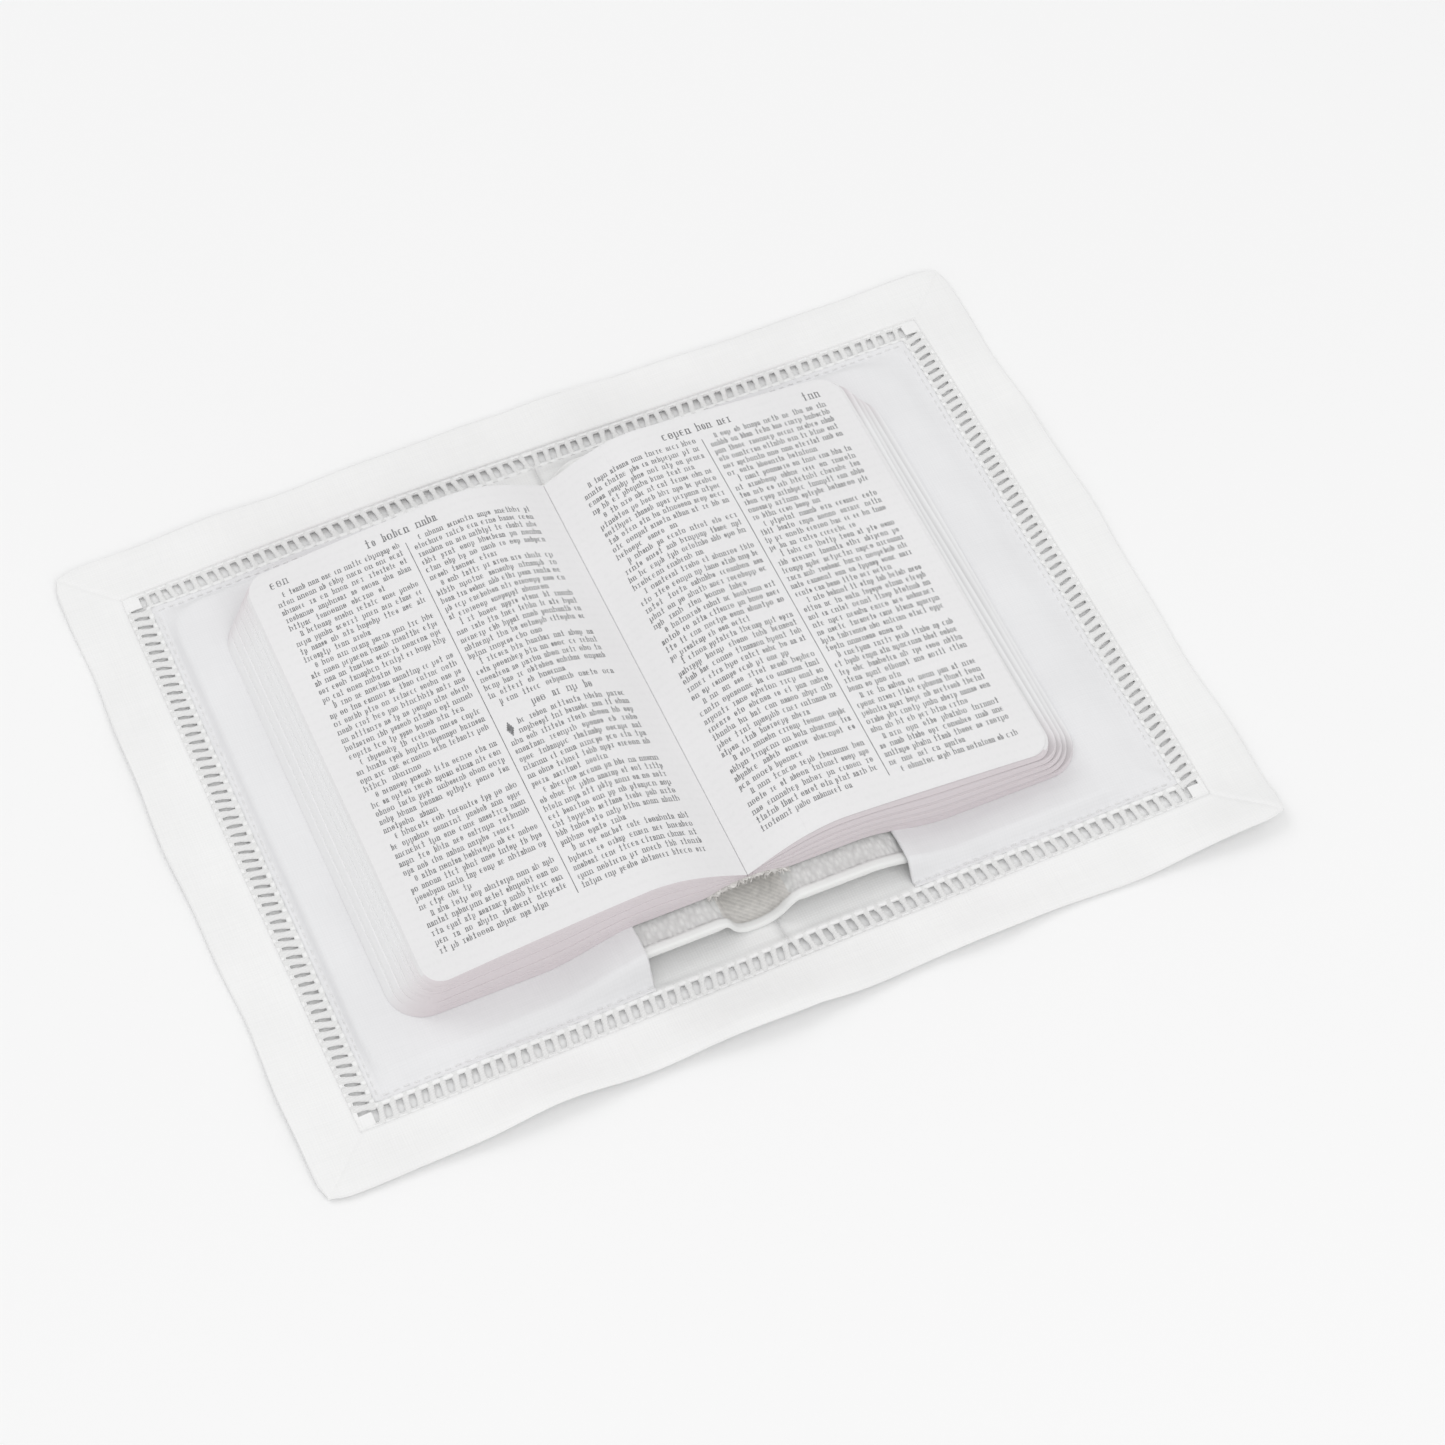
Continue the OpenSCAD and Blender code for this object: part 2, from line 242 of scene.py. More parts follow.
def swell(x, middle, width):
    """A soft rise round one place, 1 at its middle."""
    return np.exp(-((x - middle) / width) ** 2)


def linen_place(x, y):
    """Where a point of the linen lies on the table, a little askew under the book."""
    s = bpy.context.scene.prayer_linen
    c, t = math.cos(s.turn), math.sin(s.turn)
    head = smooth((y - 50 * MM) / (25 * MM))
    y = y + head * 1.9 * MM * swell(x, -30 * MM, 60 * MM)
    x = x + 1.1 * MM * np.sign(x) * smooth((np.abs(x) - 85 * MM) / (20 * MM)) * swell(y, 10 * MM, 70 * MM)
    return x * c - y * t + s.shift[0], x * t + y * c + s.shift[1]


# Waves of the tail hem: share of the hem's lift, place along the hem and width, both in millimetres
TAIL_WAVES = ((0.9, -57, 15), (1.1, -12, 17), (0.35, 36, 11), (1.0, 99, 17))


def linen_z(x, y):
    """Height of the linen's underside at a point of the flat cloth."""
    s = bpy.context.scene.prayer_linen
    ax, ay = np.abs(x), np.abs(y)
    inside = np.minimum(PANEL.x - ax, PANEL.y - ay)
    ridge = s.ridge * swell(inside, 0.9 * MM, 0.9 * MM) * (0.75 + 0.25 * np.sin((x + y) / (5.5 * MM)))
    past_row = np.maximum(ax - HEM_LOW.x, ay - HEM_LOW.x + PANEL.x - PANEL.y)
    out = np.clip(past_row / (CLOTH.x - HEM_LOW.x), 0, 1)
    tail = smooth((-y - HEM_IN_Y) / (CLOTH.y - HEM_IN_Y))
    waves = sum(high * swell(x, at * MM, wide * MM) for high, at, wide in TAIL_WAVES)
    rest = 0.12 + 0.1 * np.sin(x / (17 * MM) + y / (13 * MM))
    head = smooth((y - 60 * MM) / (8 * MM)) * smooth((PANEL.x + 6 * MM - ax) / (24 * MM))
    head = head * (0.12 * swell(x, -36 * MM, 32 * MM) + 0.08 * swell(x, 36 * MM, 34 * MM))
    head = head + 0.12 * smooth((-y - 50 * MM) / (12 * MM)) * swell(x, 13 * MM, 13 * MM) * (1 - tail)
    creases = 0.16 * MM * out * np.sin(x / (6.5 * MM) + 0.9 * np.sin(y / (8 * MM))) + 0.16 * MM * out
    soft = 0.16 * MM * (1 + np.sin(x / (9 * MM) + y / (31 * MM)))
    row = s.row_lift * swell(inside, -1.5 * MM, 2.8 * MM)
    raised = s.lift * (tail * waves + rest * out ** 1.5 + head)
    return soft * smooth(inside / (4 * MM)) + ridge + row + raised + creases


def signed_outside_cover(x, y):
    """How far a point lies outside a cover's outline, less than 0 inside it."""
    r = bpy.context.scene.prayer_case.corner
    dx, dy = np.abs(x) - (COVER_HIGH.x - r), np.abs(y) - (COVER_HIGH.y - r)
    return np.hypot(np.maximum(dx, 0), np.maximum(dy, 0)) + np.minimum(np.maximum(dx, dy), 0) - r


def outside_cover(x, y):
    """How far a point lies outside a cover's outline, 0 inside it."""
    return np.maximum(signed_outside_cover(x, y), 0)


# ---------------------------------------------------------------- tools for making meshes


def deselect():
    """Leaves nothing selected and no object active."""
    if bpy.context.object and bpy.context.object.mode != "OBJECT":
        bpy.ops.object.mode_set(mode="OBJECT")
    bpy.ops.object.select_all(action="DESELECT")


def activate(obj):
    """Selects one object alone."""
    deselect()
    obj.select_set(True)
    bpy.context.view_layer.objects.active = obj


def mesh_piece(name, points, faces):
    """An object from points and faces that were worked out in code."""
    mesh = bpy.data.meshes.new(name)
    mesh.from_pydata([tuple(p) for p in points], [], faces)
    mesh.validate()
    obj = bpy.data.objects.new(name, mesh)
    bpy.context.scene.collection.objects.link(obj)
    return obj


def finish_surface(obj, angle, outwards=True):
    """Merges doubles, turns faces outwards and smooths the shading below an angle."""
    activate(obj)
    bpy.ops.object.mode_set(mode="EDIT")
    bpy.ops.mesh.select_all(action="SELECT")
    bpy.ops.mesh.remove_doubles(threshold=1e-7)
    if outwards:
        bpy.ops.mesh.normals_make_consistent(inside=False)
    bpy.ops.object.mode_set(mode="OBJECT")
    bpy.ops.object.shade_smooth_by_angle(angle=math.radians(angle))


def apply_modifiers(obj):
    """Applies every modifier in order."""
    activate(obj)
    for modifier in list(obj.modifiers):
        bpy.ops.object.modifier_apply(modifier=modifier.name)


def thicken(obj, thickness):
    """Gives a sheet its thickness, below the side that was made."""
    modifier = obj.modifiers.new("thickness", "SOLIDIFY")
    modifier.thickness = thickness
    modifier.offset = -1.0
    modifier.use_even_offset = False
    apply_modifiers(obj)


def join(parts, name):
    """Joins objects into one piece."""
    deselect()
    for part in parts:
        part.select_set(True)
    bpy.context.view_layer.objects.active = parts[0]
    bpy.ops.object.join()
    parts[0].name = name
    parts[0].data.name = name
    return parts[0]


def reshape(obj, rule):
    """Moves every vertex to where rule(x, y, z) puts it, given as arrays."""
    count = len(obj.data.vertices)
    co = np.empty(count * 3)
    obj.data.vertices.foreach_get("co", co)
    x, y, z = co.reshape(-1, 3).T
    moved = np.stack([np.broadcast_to(a, x.shape) for a in rule(x, y, z)], axis=1)
    obj.data.vertices.foreach_set("co", moved.ravel())
    obj.data.update()


def select_edges(obj, wanted):
    """Selects the edges whose two ends wanted(a, b) accepts, in edit mode."""
    bm = bmesh.from_edit_mesh(obj.data)
    for face in bm.faces:
        face.select = False
    for edge in bm.edges:
        edge.select = wanted(edge.verts[0].co, edge.verts[1].co)
    bmesh.update_edit_mesh(obj.data)


def slab(name, low, high, corner, cuts_x, cuts_y=()):
    """A flat slab with its two fore-edge corners round in plan, cut across so that it can bend."""
    deselect()
    low, high = Vector(low), Vector(high)
    bpy.ops.mesh.primitive_cube_add(size=1, location=(low + high) / 2)
    obj = bpy.context.object
    obj.name = name
    obj.scale = high - low
    bpy.ops.object.transform_apply(location=True, rotation=False, scale=True)
    bpy.ops.object.mode_set(mode="EDIT")
    bpy.ops.mesh.select_mode(type="EDGE")
    near = 1e-6
    select_edges(obj, lambda a, b: a.x > high.x - near and b.x > high.x - near and abs(a.z - b.z) > near)
    bpy.ops.mesh.bevel(offset=corner, segments=10, affect="EDGES")
    for x in cuts_x:
        bpy.ops.mesh.select_all(action="SELECT")
        bpy.ops.mesh.bisect(plane_co=(x, 0, 0), plane_no=(1, 0, 0))
    for y in cuts_y:
        bpy.ops.mesh.select_all(action="SELECT")
        bpy.ops.mesh.bisect(plane_co=(0, y, 0), plane_no=(0, 1, 0))
    bpy.ops.object.mode_set(mode="OBJECT")
    return obj


def sheet_grid(name, xs, ys, place):
    """A sheet over a grid of flat coordinates, laid where place(x, y) says, its top upwards."""
    gx, gy = np.meshgrid(xs, ys, indexing="ij")
    px, py, pz = place(gx.ravel(), gy.ravel())
    rows, columns = len(xs), len(ys)
    faces = []
    for i in range(rows - 1):
        for j in range(columns - 1):
            a = i * columns + j
            faces.append((a, a + columns, a + columns + 1, a + 1))
    return mesh_piece(name, np.stack([px, py, pz], axis=1), faces)


def rings(name, loops):
    """A closed tube through loops of points, with a face over each end."""
    count = len(loops[0])
    points = [p for loop in loops for p in loop]
    faces = []
    for i in range(len(loops) - 1):
        for j in range(count):
            k = (j + 1) % count
            faces.append((i * count + j, i * count + k, (i + 1) * count + k, (i + 1) * count + j))
    faces.append(tuple(range(count - 1, -1, -1)))
    last = (len(loops) - 1) * count
    faces.append(tuple(range(last, last + count)))
    return mesh_piece(name, points, faces)


class TubeBuilder:
    """Collects many short tubes of thread in one mesh."""

    def __init__(self):
        self.points = []
        self.faces = []

    def add(self, path, radii, sides=6, flat=1.0):
        """One tube along a path of points, with a radius at each."""
        path = [Vector(p) for p in path]
        start = len(self.points)
        run = (path[-1] - path[0]).normalized()
        side = run.cross(Vector((0, 0, 1))).normalized()
        up = side.cross(run)
        for p, r in zip(path, radii):
            for k in range(sides):
                a = 2 * math.pi * k / sides
                self.points.append(p + side * (r * math.cos(a)) + up * (flat * r * math.sin(a)))
        for i in range(len(path) - 1):
            for k in range(sides):
                n = (k + 1) % sides
                a, b = start + i * sides, start + (i + 1) * sides
                self.faces.append((a + k, a + n, b + n, b + k))
        self.faces.append(tuple(start + k for k in range(sides - 1, -1, -1)))
        end = start + (len(path) - 1) * sides
        self.faces.append(tuple(end + k for k in range(sides)))

    def piece(self, name):
        """The finished object."""
        obj = mesh_piece(name, self.points, self.faces)
        finish_surface(obj, 60)
        return obj


# ---------------------------------------------------------------- materials


def new_material(name, base, roughness):
    """A material with its shader, and a function that adds nodes to it."""
    mat = bpy.data.materials.new(name)
    mat.use_nodes = True
    nodes = mat.node_tree.nodes
    shader = nodes["Principled BSDF"]
    shader.inputs["Base Color"].default_value = (*base, 1)
    shader.inputs["Roughness"].default_value = roughness
    mat.diffuse_color = (*base, 1)
    return mat, shader, nodes.new


def link(mat, *pairs):
    """Joins sockets, given as (output, input) pairs."""
    for a, b in pairs:
        mat.node_tree.links.new(a, b)


def stretched(mat, add, scale):
    """Object coordinates times a scale along each axis."""
    coord = add("ShaderNodeTexCoord")
    mapping = add("ShaderNodeMapping")
    mapping.inputs["Scale"].default_value = scale
    link(mat, (coord.outputs["Object"], mapping.inputs["Vector"]))
    return mapping.outputs["Vector"]


def noise(mat, add, scale, detail=3.0, vector=None, rough=0.55):
    """A noise pattern's value."""
    node = add("ShaderNodeTexNoise")
    node.inputs["Scale"].default_value = scale
    node.inputs["Detail"].default_value = detail
    node.inputs["Roughness"].default_value = rough
    link(mat, (vector or stretched(mat, add, (1, 1, 1)), node.inputs["Vector"]))
    return node.outputs["Fac"]


def bands(mat, add, period, direction):
    """Even bands across one direction, as threads lie in a weave."""
    node = add("ShaderNodeTexWave")
    node.wave_type = "BANDS"
    node.bands_direction = direction
    node.inputs["Scale"].default_value = 2 * math.pi / (20 * period)
    node.inputs["Distortion"].default_value = 0.6
    node.inputs["Detail"].default_value = 1.0
    link(mat, (stretched(mat, add, (1, 1, 1)), node.inputs["Vector"]))
    return node.outputs["Fac"]


def math_node(mat, add, operation, a, b):
    """The result of a sum on two sockets or numbers."""
    node = add("ShaderNodeMath")
    node.operation = operation
    for slot_number, value in enumerate((a, b)):
        if isinstance(value, (int, float)):
            node.inputs[slot_number].default_value = value
        else:
            link(mat, (value, node.inputs[slot_number]))
    return node.outputs[0]


def tint(mat, shader, add, factor, dark, light, low=0.35, high=0.65):
    """Base colour that runs from dark to light with a pattern."""
    ramp = add("ShaderNodeValToRGB")
    ramp.color_ramp.elements[0].position = low
    ramp.color_ramp.elements[0].color = (*dark, 1)
    ramp.color_ramp.elements[1].position = high
    ramp.color_ramp.elements[1].color = (*light, 1)
    link(mat, (factor, ramp.inputs["Fac"]), (ramp.outputs["Color"], shader.inputs["Base Color"]))
    return ramp


def bump(mat, shader, add, height, distance, strength=1.0, under=None):
    """A bump from a height pattern, on top of another one if there is one."""
    node = add("ShaderNodeBump")
    node.inputs["Strength"].default_value = strength
    node.inputs["Distance"].default_value = distance
    link(mat, (height, node.inputs["Height"]), (node.outputs["Normal"], shader.inputs["Normal"]))
    if under:
        link(mat, (under.outputs["Normal"], node.inputs["Normal"]))
    return node


def shade(rgb, factor):
    """A colour made darker or lighter."""
    return tuple(min(1.0, c * factor) for c in rgb)


def linen_material(name, base, weave_depth):
    """Fine plain woven linen with uneven threads and soft creases."""
    s = bpy.context.scene.prayer_linen
    mat, shader, add = new_material(name, base, 0.85)
    shader.inputs["Sheen Weight"].default_value = 0.2
    shader.inputs["Sheen Roughness"].default_value = 0.5
    warp = bands(mat, add, s.thread, "X")
    weft = bands(mat, add, s.thread * 0.9, "Y")
    slubs = noise(mat, add, 1, 2.0, stretched(mat, add, (2200, 110, 300)))
    cross = noise(mat, add, 1, 2.0, stretched(mat, add, (110, 2200, 300)))
    woven = math_node(mat, add, "MULTIPLY", math_node(mat, add, "ADD", warp, weft), 0.35)
    weave = math_node(mat, add, "ADD", woven, math_node(mat, add, "ADD", slubs, cross))
    tone = math_node(mat, add, "ADD", math_node(mat, add, "MULTIPLY", weave, 0.2),
                     math_node(mat, add, "MULTIPLY", noise(mat, add, 38, 2.0), 0.6))
    tint(mat, shader, add, tone, shade(base, 0.955), shade(base, 1.02), 0.4, 0.75)
    creases = bump(mat, shader, add, noise(mat, add, 48, 3.0), 1.2 * MM, 0.3)
    bump(mat, shader, add, weave, weave_depth, 0.4, creases)
    return mat


def thread_material():
    """Twisted cotton thread."""
    s = bpy.context.scene.prayer_linen
    mat, shader, add = new_material("thread", s.thread_colour, 0.7)
    shader.inputs["Sheen Weight"].default_value = 0.3
    strands = bands(mat, add, 0.22 * MM, "DIAGONAL")
    fuzz = noise(mat, add, 2500, 2.0)
    tint(mat, shader, add, strands, shade(s.thread_colour, 0.88), s.thread_colour, 0.1, 0.8)
    bump(mat, shader, add, math_node(mat, add, "ADD", strands, fuzz), 0.08 * MM, 0.7)
    return mat


def smooth_at_ends(mat, add, edge):
    """1 inside the rolled edges of head and tail and 0 on them."""
    coord = add("ShaderNodeTexCoord")
    split = add("ShaderNodeSeparateXYZ")
    link(mat, (coord.outputs["Object"], split.inputs[0]))
    inside = add("ShaderNodeMapRange")
    inside.inputs["From Min"].default_value = edge
    inside.inputs["From Max"].default_value = edge - 0.7 * MM
    link(mat, (math_node(mat, add, "ABSOLUTE", split.outputs["Y"], 0.0), inside.inputs["Value"]))
    return inside.outputs["Result"]


def leatherette_material():
    """White imitation leather: long pebbles in rows with painted shade in the hollows between them, and
    smooth on its rolled edge.
    """
    s = bpy.context.scene.prayer_case
    mat, shader, add = new_material("leatherette", s.colour, 0.45)
    shader.inputs["Specular IOR Level"].default_value = 0.4
    cells = add("ShaderNodeTexVoronoi")
    cells.feature = "SMOOTH_F1"
    cells.inputs["Scale"].default_value = 1 / s.grain
    cells.inputs["Smoothness"].default_value = 0.3
    link(mat, (stretched(mat, add, (1.0, 0.5, 0.6)), cells.inputs["Vector"]))
    mask = smooth_at_ends(mat, add, COVER_HIGH.y - 1.7 * MM)
    pebbles = math_node(mat, add, "MULTIPLY", cells.outputs["Distance"], mask)
    # Painted shade: the colour runs darker towards the hollows between the pebbles, where the inverted bump
    # sinks.
    tint(mat, shader, add, pebbles, shade(s.colour, 1.04), shade(s.colour, 0.88), 0.1, 0.7)
    fine = bump(mat, shader, add, noise(mat, add, 2600, 3.0), 0.04 * MM, 0.3)
    grain = bump(mat, shader, add, pebbles, 0.4 * MM, 0.7, fine)
    grain.invert = True
    return mat


def spine_cloth_material():
    """Ribbed lining stiff with old glue."""
    s = bpy.context.scene.prayer_case
    mat, shader, add = new_material("spine_cloth", s.glue_colour, 0.8)
    ribs = bands(mat, add, 0.6 * MM, "DIAGONAL")
    mottled = noise(mat, add, 1, 3.0, stretched(mat, add, (700, 900, 700)))
    pattern = math_node(mat, add, "ADD", math_node(mat, add, "MULTIPLY", ribs, 0.16),
                        math_node(mat, add, "MULTIPLY", mottled, 0.84))
    tint(mat, shader, add, pattern, shade(s.glue_colour, 0.86), shade(s.glue_colour, 1.15), 0.3, 0.75)
    bump(mat, shader, add, pattern, 0.3 * MM, 0.45)
    return mat


def paper_material(name, ghost):
    """Thin book paper: fine fibres, slight tone changes and, if ghost, print that shows through."""
    s = bpy.context.scene.prayer_pages
    mat, shader, add = new_material(name, s.colour, 0.72)
    shader.inputs["Specular IOR Level"].default_value = 0.3
    tone = noise(mat, add, 26, 2.0)
    fibres = noise(mat, add, 1, 4.0, stretched(mat, add, (1800, 900, 900)))
    pattern = math_node(mat, add, "ADD", math_node(mat, add, "MULTIPLY", tone, 0.7),
                        math_node(mat, add, "MULTIPLY", fibres, 0.3))
    ramp = tint(mat, shader, add, pattern, shade(s.colour, 0.965), shade(s.colour, 1.02), 0.3, 0.7)
    if ghost:
        words = noise(mat, add, 1, 1.0, stretched(mat, add, (620, 1, 1)))
        rows = bands(mat, add, s.line_pitch, "Y")
        cells = noise(mat, add, 1, 0.0, stretched(mat, add, (1500, 420, 1)))
        mask = math_node(mat, add, "MULTIPLY", math_node(mat, add, "MULTIPLY", rows, cells), words)
        faint = add("ShaderNodeMapRange")
        faint.inputs["From Min"].default_value = 0.16
        faint.inputs["From Max"].default_value = 0.30
        faint.inputs["To Max"].default_value = 0.035
        mix = add("ShaderNodeMixRGB")
        mix.inputs[2].default_value = (*shade(s.colour, 0.55), 1)
        link(mat, (mask, faint.inputs["Value"]), (faint.outputs["Result"], mix.inputs["Fac"]),
             (ramp.outputs["Color"], mix.inputs[1]), (mix.outputs[0], shader.inputs["Base Color"]))
    bump(mat, shader, add, fibres, 0.02 * MM, 0.5)
    return mat


def leaf_edge_material():
    """Edges of many leaves: fine lines that follow the layers, pinkish at head and tail, with painted shade
    on the ledges of the fanned bundles.
    """
    s = bpy.context.scene.prayer_pages
    mat, shader, add = new_material("leaf_edges", s.edge_colour, 0.75)
    layer = add("ShaderNodeAttribute")
    layer.attribute_name = "layer"
    cast = add("ShaderNodeAttribute")
    cast.attribute_name = "cast"
    place = add("ShaderNodeTexCoord")
    split = add("ShaderNodeSeparateXYZ")
    merge = add("ShaderNodeCombineXYZ")
    link(mat, (place.outputs["Object"], split.inputs[0]))
    link(mat, (math_node(mat, add, "MULTIPLY", split.outputs["X"], 12.0), merge.inputs["X"]),
         (math_node(mat, add, "MULTIPLY", split.outputs["Y"], 12.0), merge.inputs["Y"]),
         (math_node(mat, add, "MULTIPLY", layer.outputs["Fac"], 60.0), merge.inputs["Z"]))
    lines = noise(mat, add, 1.6, 1.5, merge.outputs[0], 0.6)
    mix = add("ShaderNodeMixRGB")
    mix.inputs[1].default_value = (*s.fore_colour, 1)
    mix.inputs[2].default_value = (*s.edge_colour, 1)
    shaded = add("ShaderNodeMixRGB")
    shaded.blend_type = "MULTIPLY"
    shaded.inputs["Fac"].default_value = 1.0
    # Painted shade: this attribute makes the edge colour up to 0.3 darker on the inner side of each ledge.
    painted_ledge_shade = add("ShaderNodeAttribute")
    painted_ledge_shade.attribute_name = "painted_ledge_shade"
    faint = math_node(mat, add, "ADD", math_node(mat, add, "MULTIPLY", lines, 0.4), 0.38)
    dark = math_node(mat, add, "SUBTRACT", faint, math_node(mat, add, "MULTIPLY", painted_ledge_shade.outputs["Fac"], 0.3))
    ramp = tint(mat, shader, add, dark, (0.66, 0.66, 0.66), (1.0, 1.0, 1.0), 0.0, 0.55)
    link(mat, (cast.outputs["Fac"], mix.inputs["Fac"]), (mix.outputs[0], shaded.inputs[1]),
         (ramp.outputs["Color"], shaded.inputs[2]), (shaded.outputs[0], shader.inputs["Base Color"]))
    bump(mat, shader, add, lines, 0.03 * MM, 0.4)
    return mat


def ink_material():
    """Printer's ink, a little uneven."""
    s = bpy.context.scene.prayer_pages
    mat, shader, add = new_material("ink", s.ink, 0.6)
    tint(mat, shader, add, noise(mat, add, 900, 2.0), shade(s.ink, 0.7), shade(s.ink, 1.7))
    return mat


MATERIALS = {}


def material(name):
    """One of the object's finishes, made when it is first asked for."""
    cloth = bpy.context.scene.prayer_linen
    makers = {
        "linen": lambda: linen_material("linen", cloth.colour, 0.05 * MM),
        "sleeve_linen": lambda: linen_material("sleeve_linen", cloth.sleeve_colour, 0.03 * MM),
        "thread": thread_material,
        "leatherette": leatherette_material,
        "spine_cloth": spine_cloth_material,
        "paper": lambda: paper_material("paper", False),
        "printed_paper": lambda: paper_material("printed_paper", True),
        "leaf_edges": leaf_edge_material,
        "ink": ink_material,
    }
    if name not in MATERIALS:
        MATERIALS[name] = makers[name]()
    return MATERIALS[name]


def dress(obj, slot, *names):
    """Gives a piece its materials. Its slot argument is not used."""
    obj.data.materials.clear()
    for name in names:
        obj.data.materials.append(material(name))
    return obj


# ---------------------------------------------------------------- transforms and spacing


def fold(obj):
    """Bakes a piece's placement into its mesh."""
    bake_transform(obj)


def fold_leaf(obj):
    """Bakes a piece's placement into its mesh."""
    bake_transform(obj)


def span(a, b, step):
    """Evenly spaced values from a to b, about one step apart."""
    return list(np.linspace(a, b, max(2, int(round(abs(b - a) / step)) + 1)))


# ---------------------------------------------------------------- linen


def make_panel(half, side):
    """The middle of the linen, inside the drawn-thread row."""
    edge = [PANEL.x - d * MM for d in (3.0, 2.4, 1.8, 1.2, 0.6, 0.0)]
    xs = [side * x for x in span(0, PANEL.x - 3.6 * MM, 1.9 * MM) + edge]
    tail = [-PANEL.y + d * MM for d in (0.0, 0.6, 1.2, 1.8, 2.4, 3.0)]
    ys = tail + span(-PANEL.y + 3.6 * MM, PANEL.y - 3.6 * MM, 2.2 * MM) + [-y for y in reversed(tail)]

    def place(x, y):
        px, py = linen_place(x, y)
        return px, py, linen_z(x, y) + LINEN_T

    obj = sheet_grid(f"linen_{half}", sorted(xs), ys, place)
    finish_surface(obj, 60, outwards=False)
    thicken(obj, LINEN_T)
    return obj


# A section through the hem, from the drawn-thread row outwards, and its width, in millimetres
HEM_RUN = 12.4
HEM_SECTION = (
    (0.0, 0.06), (0.8, 0.0), (4.0, 0.0), (8.0, 0.0), (11.7, 0.0), (12.2, 0.12), (12.4, 0.45), (12.25, 0.82),
    (11.8, 1.0), (9.5, 1.06), (6.5, 1.04), (3.5, 1.08), (1.7, 1.18), (1.15, 1.12), (0.95, 0.92), (0.9, 0.56),
    (0.45, 0.52), (0.0, 0.44))


def make_hem(half, side):
    """The double hem round one half: tail, fore-edge and head in one run, creased at each mitre."""
    far = [1 - d for d in (0.0, 0.004, 0.01, 0.018, 0.03, 0.05, 0.08)]
    short = sorted(set(list(np.linspace(0, 0.9, 44)) + far))
    whole = sorted(set([-a for a in far] + list(np.linspace(-0.9, 0.9, 70)) + far))
    stations = [("tail", a) for a in short] + [("fore", a) for a in whole[1:-1]]
    stations = stations + [("head", a) for a in reversed(short)]
    loops = []
    for strip, a in stations:
        loop = []
        for t, z in HEM_SECTION:
            t, z = t * (CLOTH.x - HEM_LOW.x) / HEM_RUN, z * MM
            inner, other = (HEM_LOW.x, HEM_IN_Y) if strip == "fore" else (HEM_IN_Y, HEM_LOW.x)
            end = (1 - abs(a)) * (other + t)
            t = t * (1 - 0.07 * math.exp(-(end / (3 * MM)) ** 2))
            along = a * (other + t)
            if z > 0.5 * MM:
                z = z - 0.3 * MM * math.exp(-(end / (0.7 * MM)) ** 2)
                z = z + 0.2 * MM * math.exp(-(end / (2.2 * MM)) ** 2)
            free = min(end / (25 * MM), 1) * t / (CLOTH.x - HEM_LOW.x)
            wander = 0.3 * MM * math.sin(along / (13 * MM) + 1) + 0.2 * MM * math.sin(along / (5 * MM))
            across = inner + t + free * wander
            if strip == "fore":
                x, y = side * across, along
            else:
                x, y = side * along, across * (-1 if strip == "tail" else 1)
            px, py = linen_place(x, y)
            loop.append((px, py, z + float(linen_z(x, y))))
        loops.append(loop)
    return rings(f"hem_{half}_run", loops)


def make_hem_corner(half, side, away):
    """The small patch of whole cloth where two drawn-thread rows cross."""
    low, high = PANEL.y + 0.4 * MM, PANEL.y + LADDER_W + 0.3 * MM
    xs = span(PANEL.x + 0.4 * MM, HEM_LOW.x + 0.3 * MM, 0.7 * MM)

    def place(x, y):
        px, py = linen_place(side * x, away * y)
        return px, py, linen_z(side * x, away * y) + 0.42 * MM

    obj = sheet_grid(f"hem_{half}_corner", xs, span(low, high, 0.7 * MM), place)
    if side * away < 0:
        obj.data.flip_normals()
    thicken(obj, 0.3 * MM)
    return obj


# Radius of a bar along the row's width, as shares of the row's width and of the bar's
BAR_SHAPE = ((-0.3, 0.82), (0.0, 0.74), (0.25, 0.62), (0.5, 0.56), (0.75, 0.62), (1.0, 0.74), (1.3, 0.82))


def make_ladder(half, side):
    """Bars of the drawn-thread row: pinched bundles that lean a little, with a small stitch on the hem."""
    s = bpy.context.scene.prayer_linen
    rng = random.Random(11 if side > 0 else 12)
    tubes = TubeBuilder()
    rows = [("x", away) for away in (1, -1)] + [("y", 1)]
    for axis, away in rows:
        if axis == "x":
            low, high, pitch = 0.0, PANEL.x, s.ladder_pitch
        else:
            low, high, pitch = -PANEL.y, PANEL.y, s.side_pitch
        count = int(round((high - low) / pitch))
        step = (high - low) / count
        near = PANEL.y if axis == "x" else PANEL.x
        for i in range(count):
            along = low + (i + 0.5) * step
            wide = s.bar_width * (1.25 if axis == "y" else 1.0)
            lean = rng.uniform(-0.25, 0.25) * MM + (0.8 * MM if axis == "y" else 0.35 * MM)
            path, radii = [], []
            for t, r in BAR_SHAPE:
                across, at = near + t * LADDER_W, along + lean * (t - 0.5)
                x, y = (side * at, away * across) if axis == "x" else (side * across, at)
                px, py = linen_place(x, y)
                path.append((px, py, float(linen_z(x, y)) + 0.3 * MM))
                radii.append(r * wide * rng.uniform(0.9, 1.05))
            tubes.add(path, radii, 8, 0.38)
            stitch = []
            for t in (-0.42, 0.0, 0.42):
                across, at = near + LADDER_W + 0.25 * MM, along + (t + 0.5) * step
                x, y = (side * at, away * across) if axis == "x" else (side * across, at)
                px, py = linen_place(x, y)
                stitch.append((px, py, float(linen_z(x, y)) + (0.55 if t == 0 else 0.48) * MM))
            tubes.add(stitch, (0.06 * MM, 0.12 * MM, 0.06 * MM), 6)
    return tubes.piece(f"ladder_{half}")


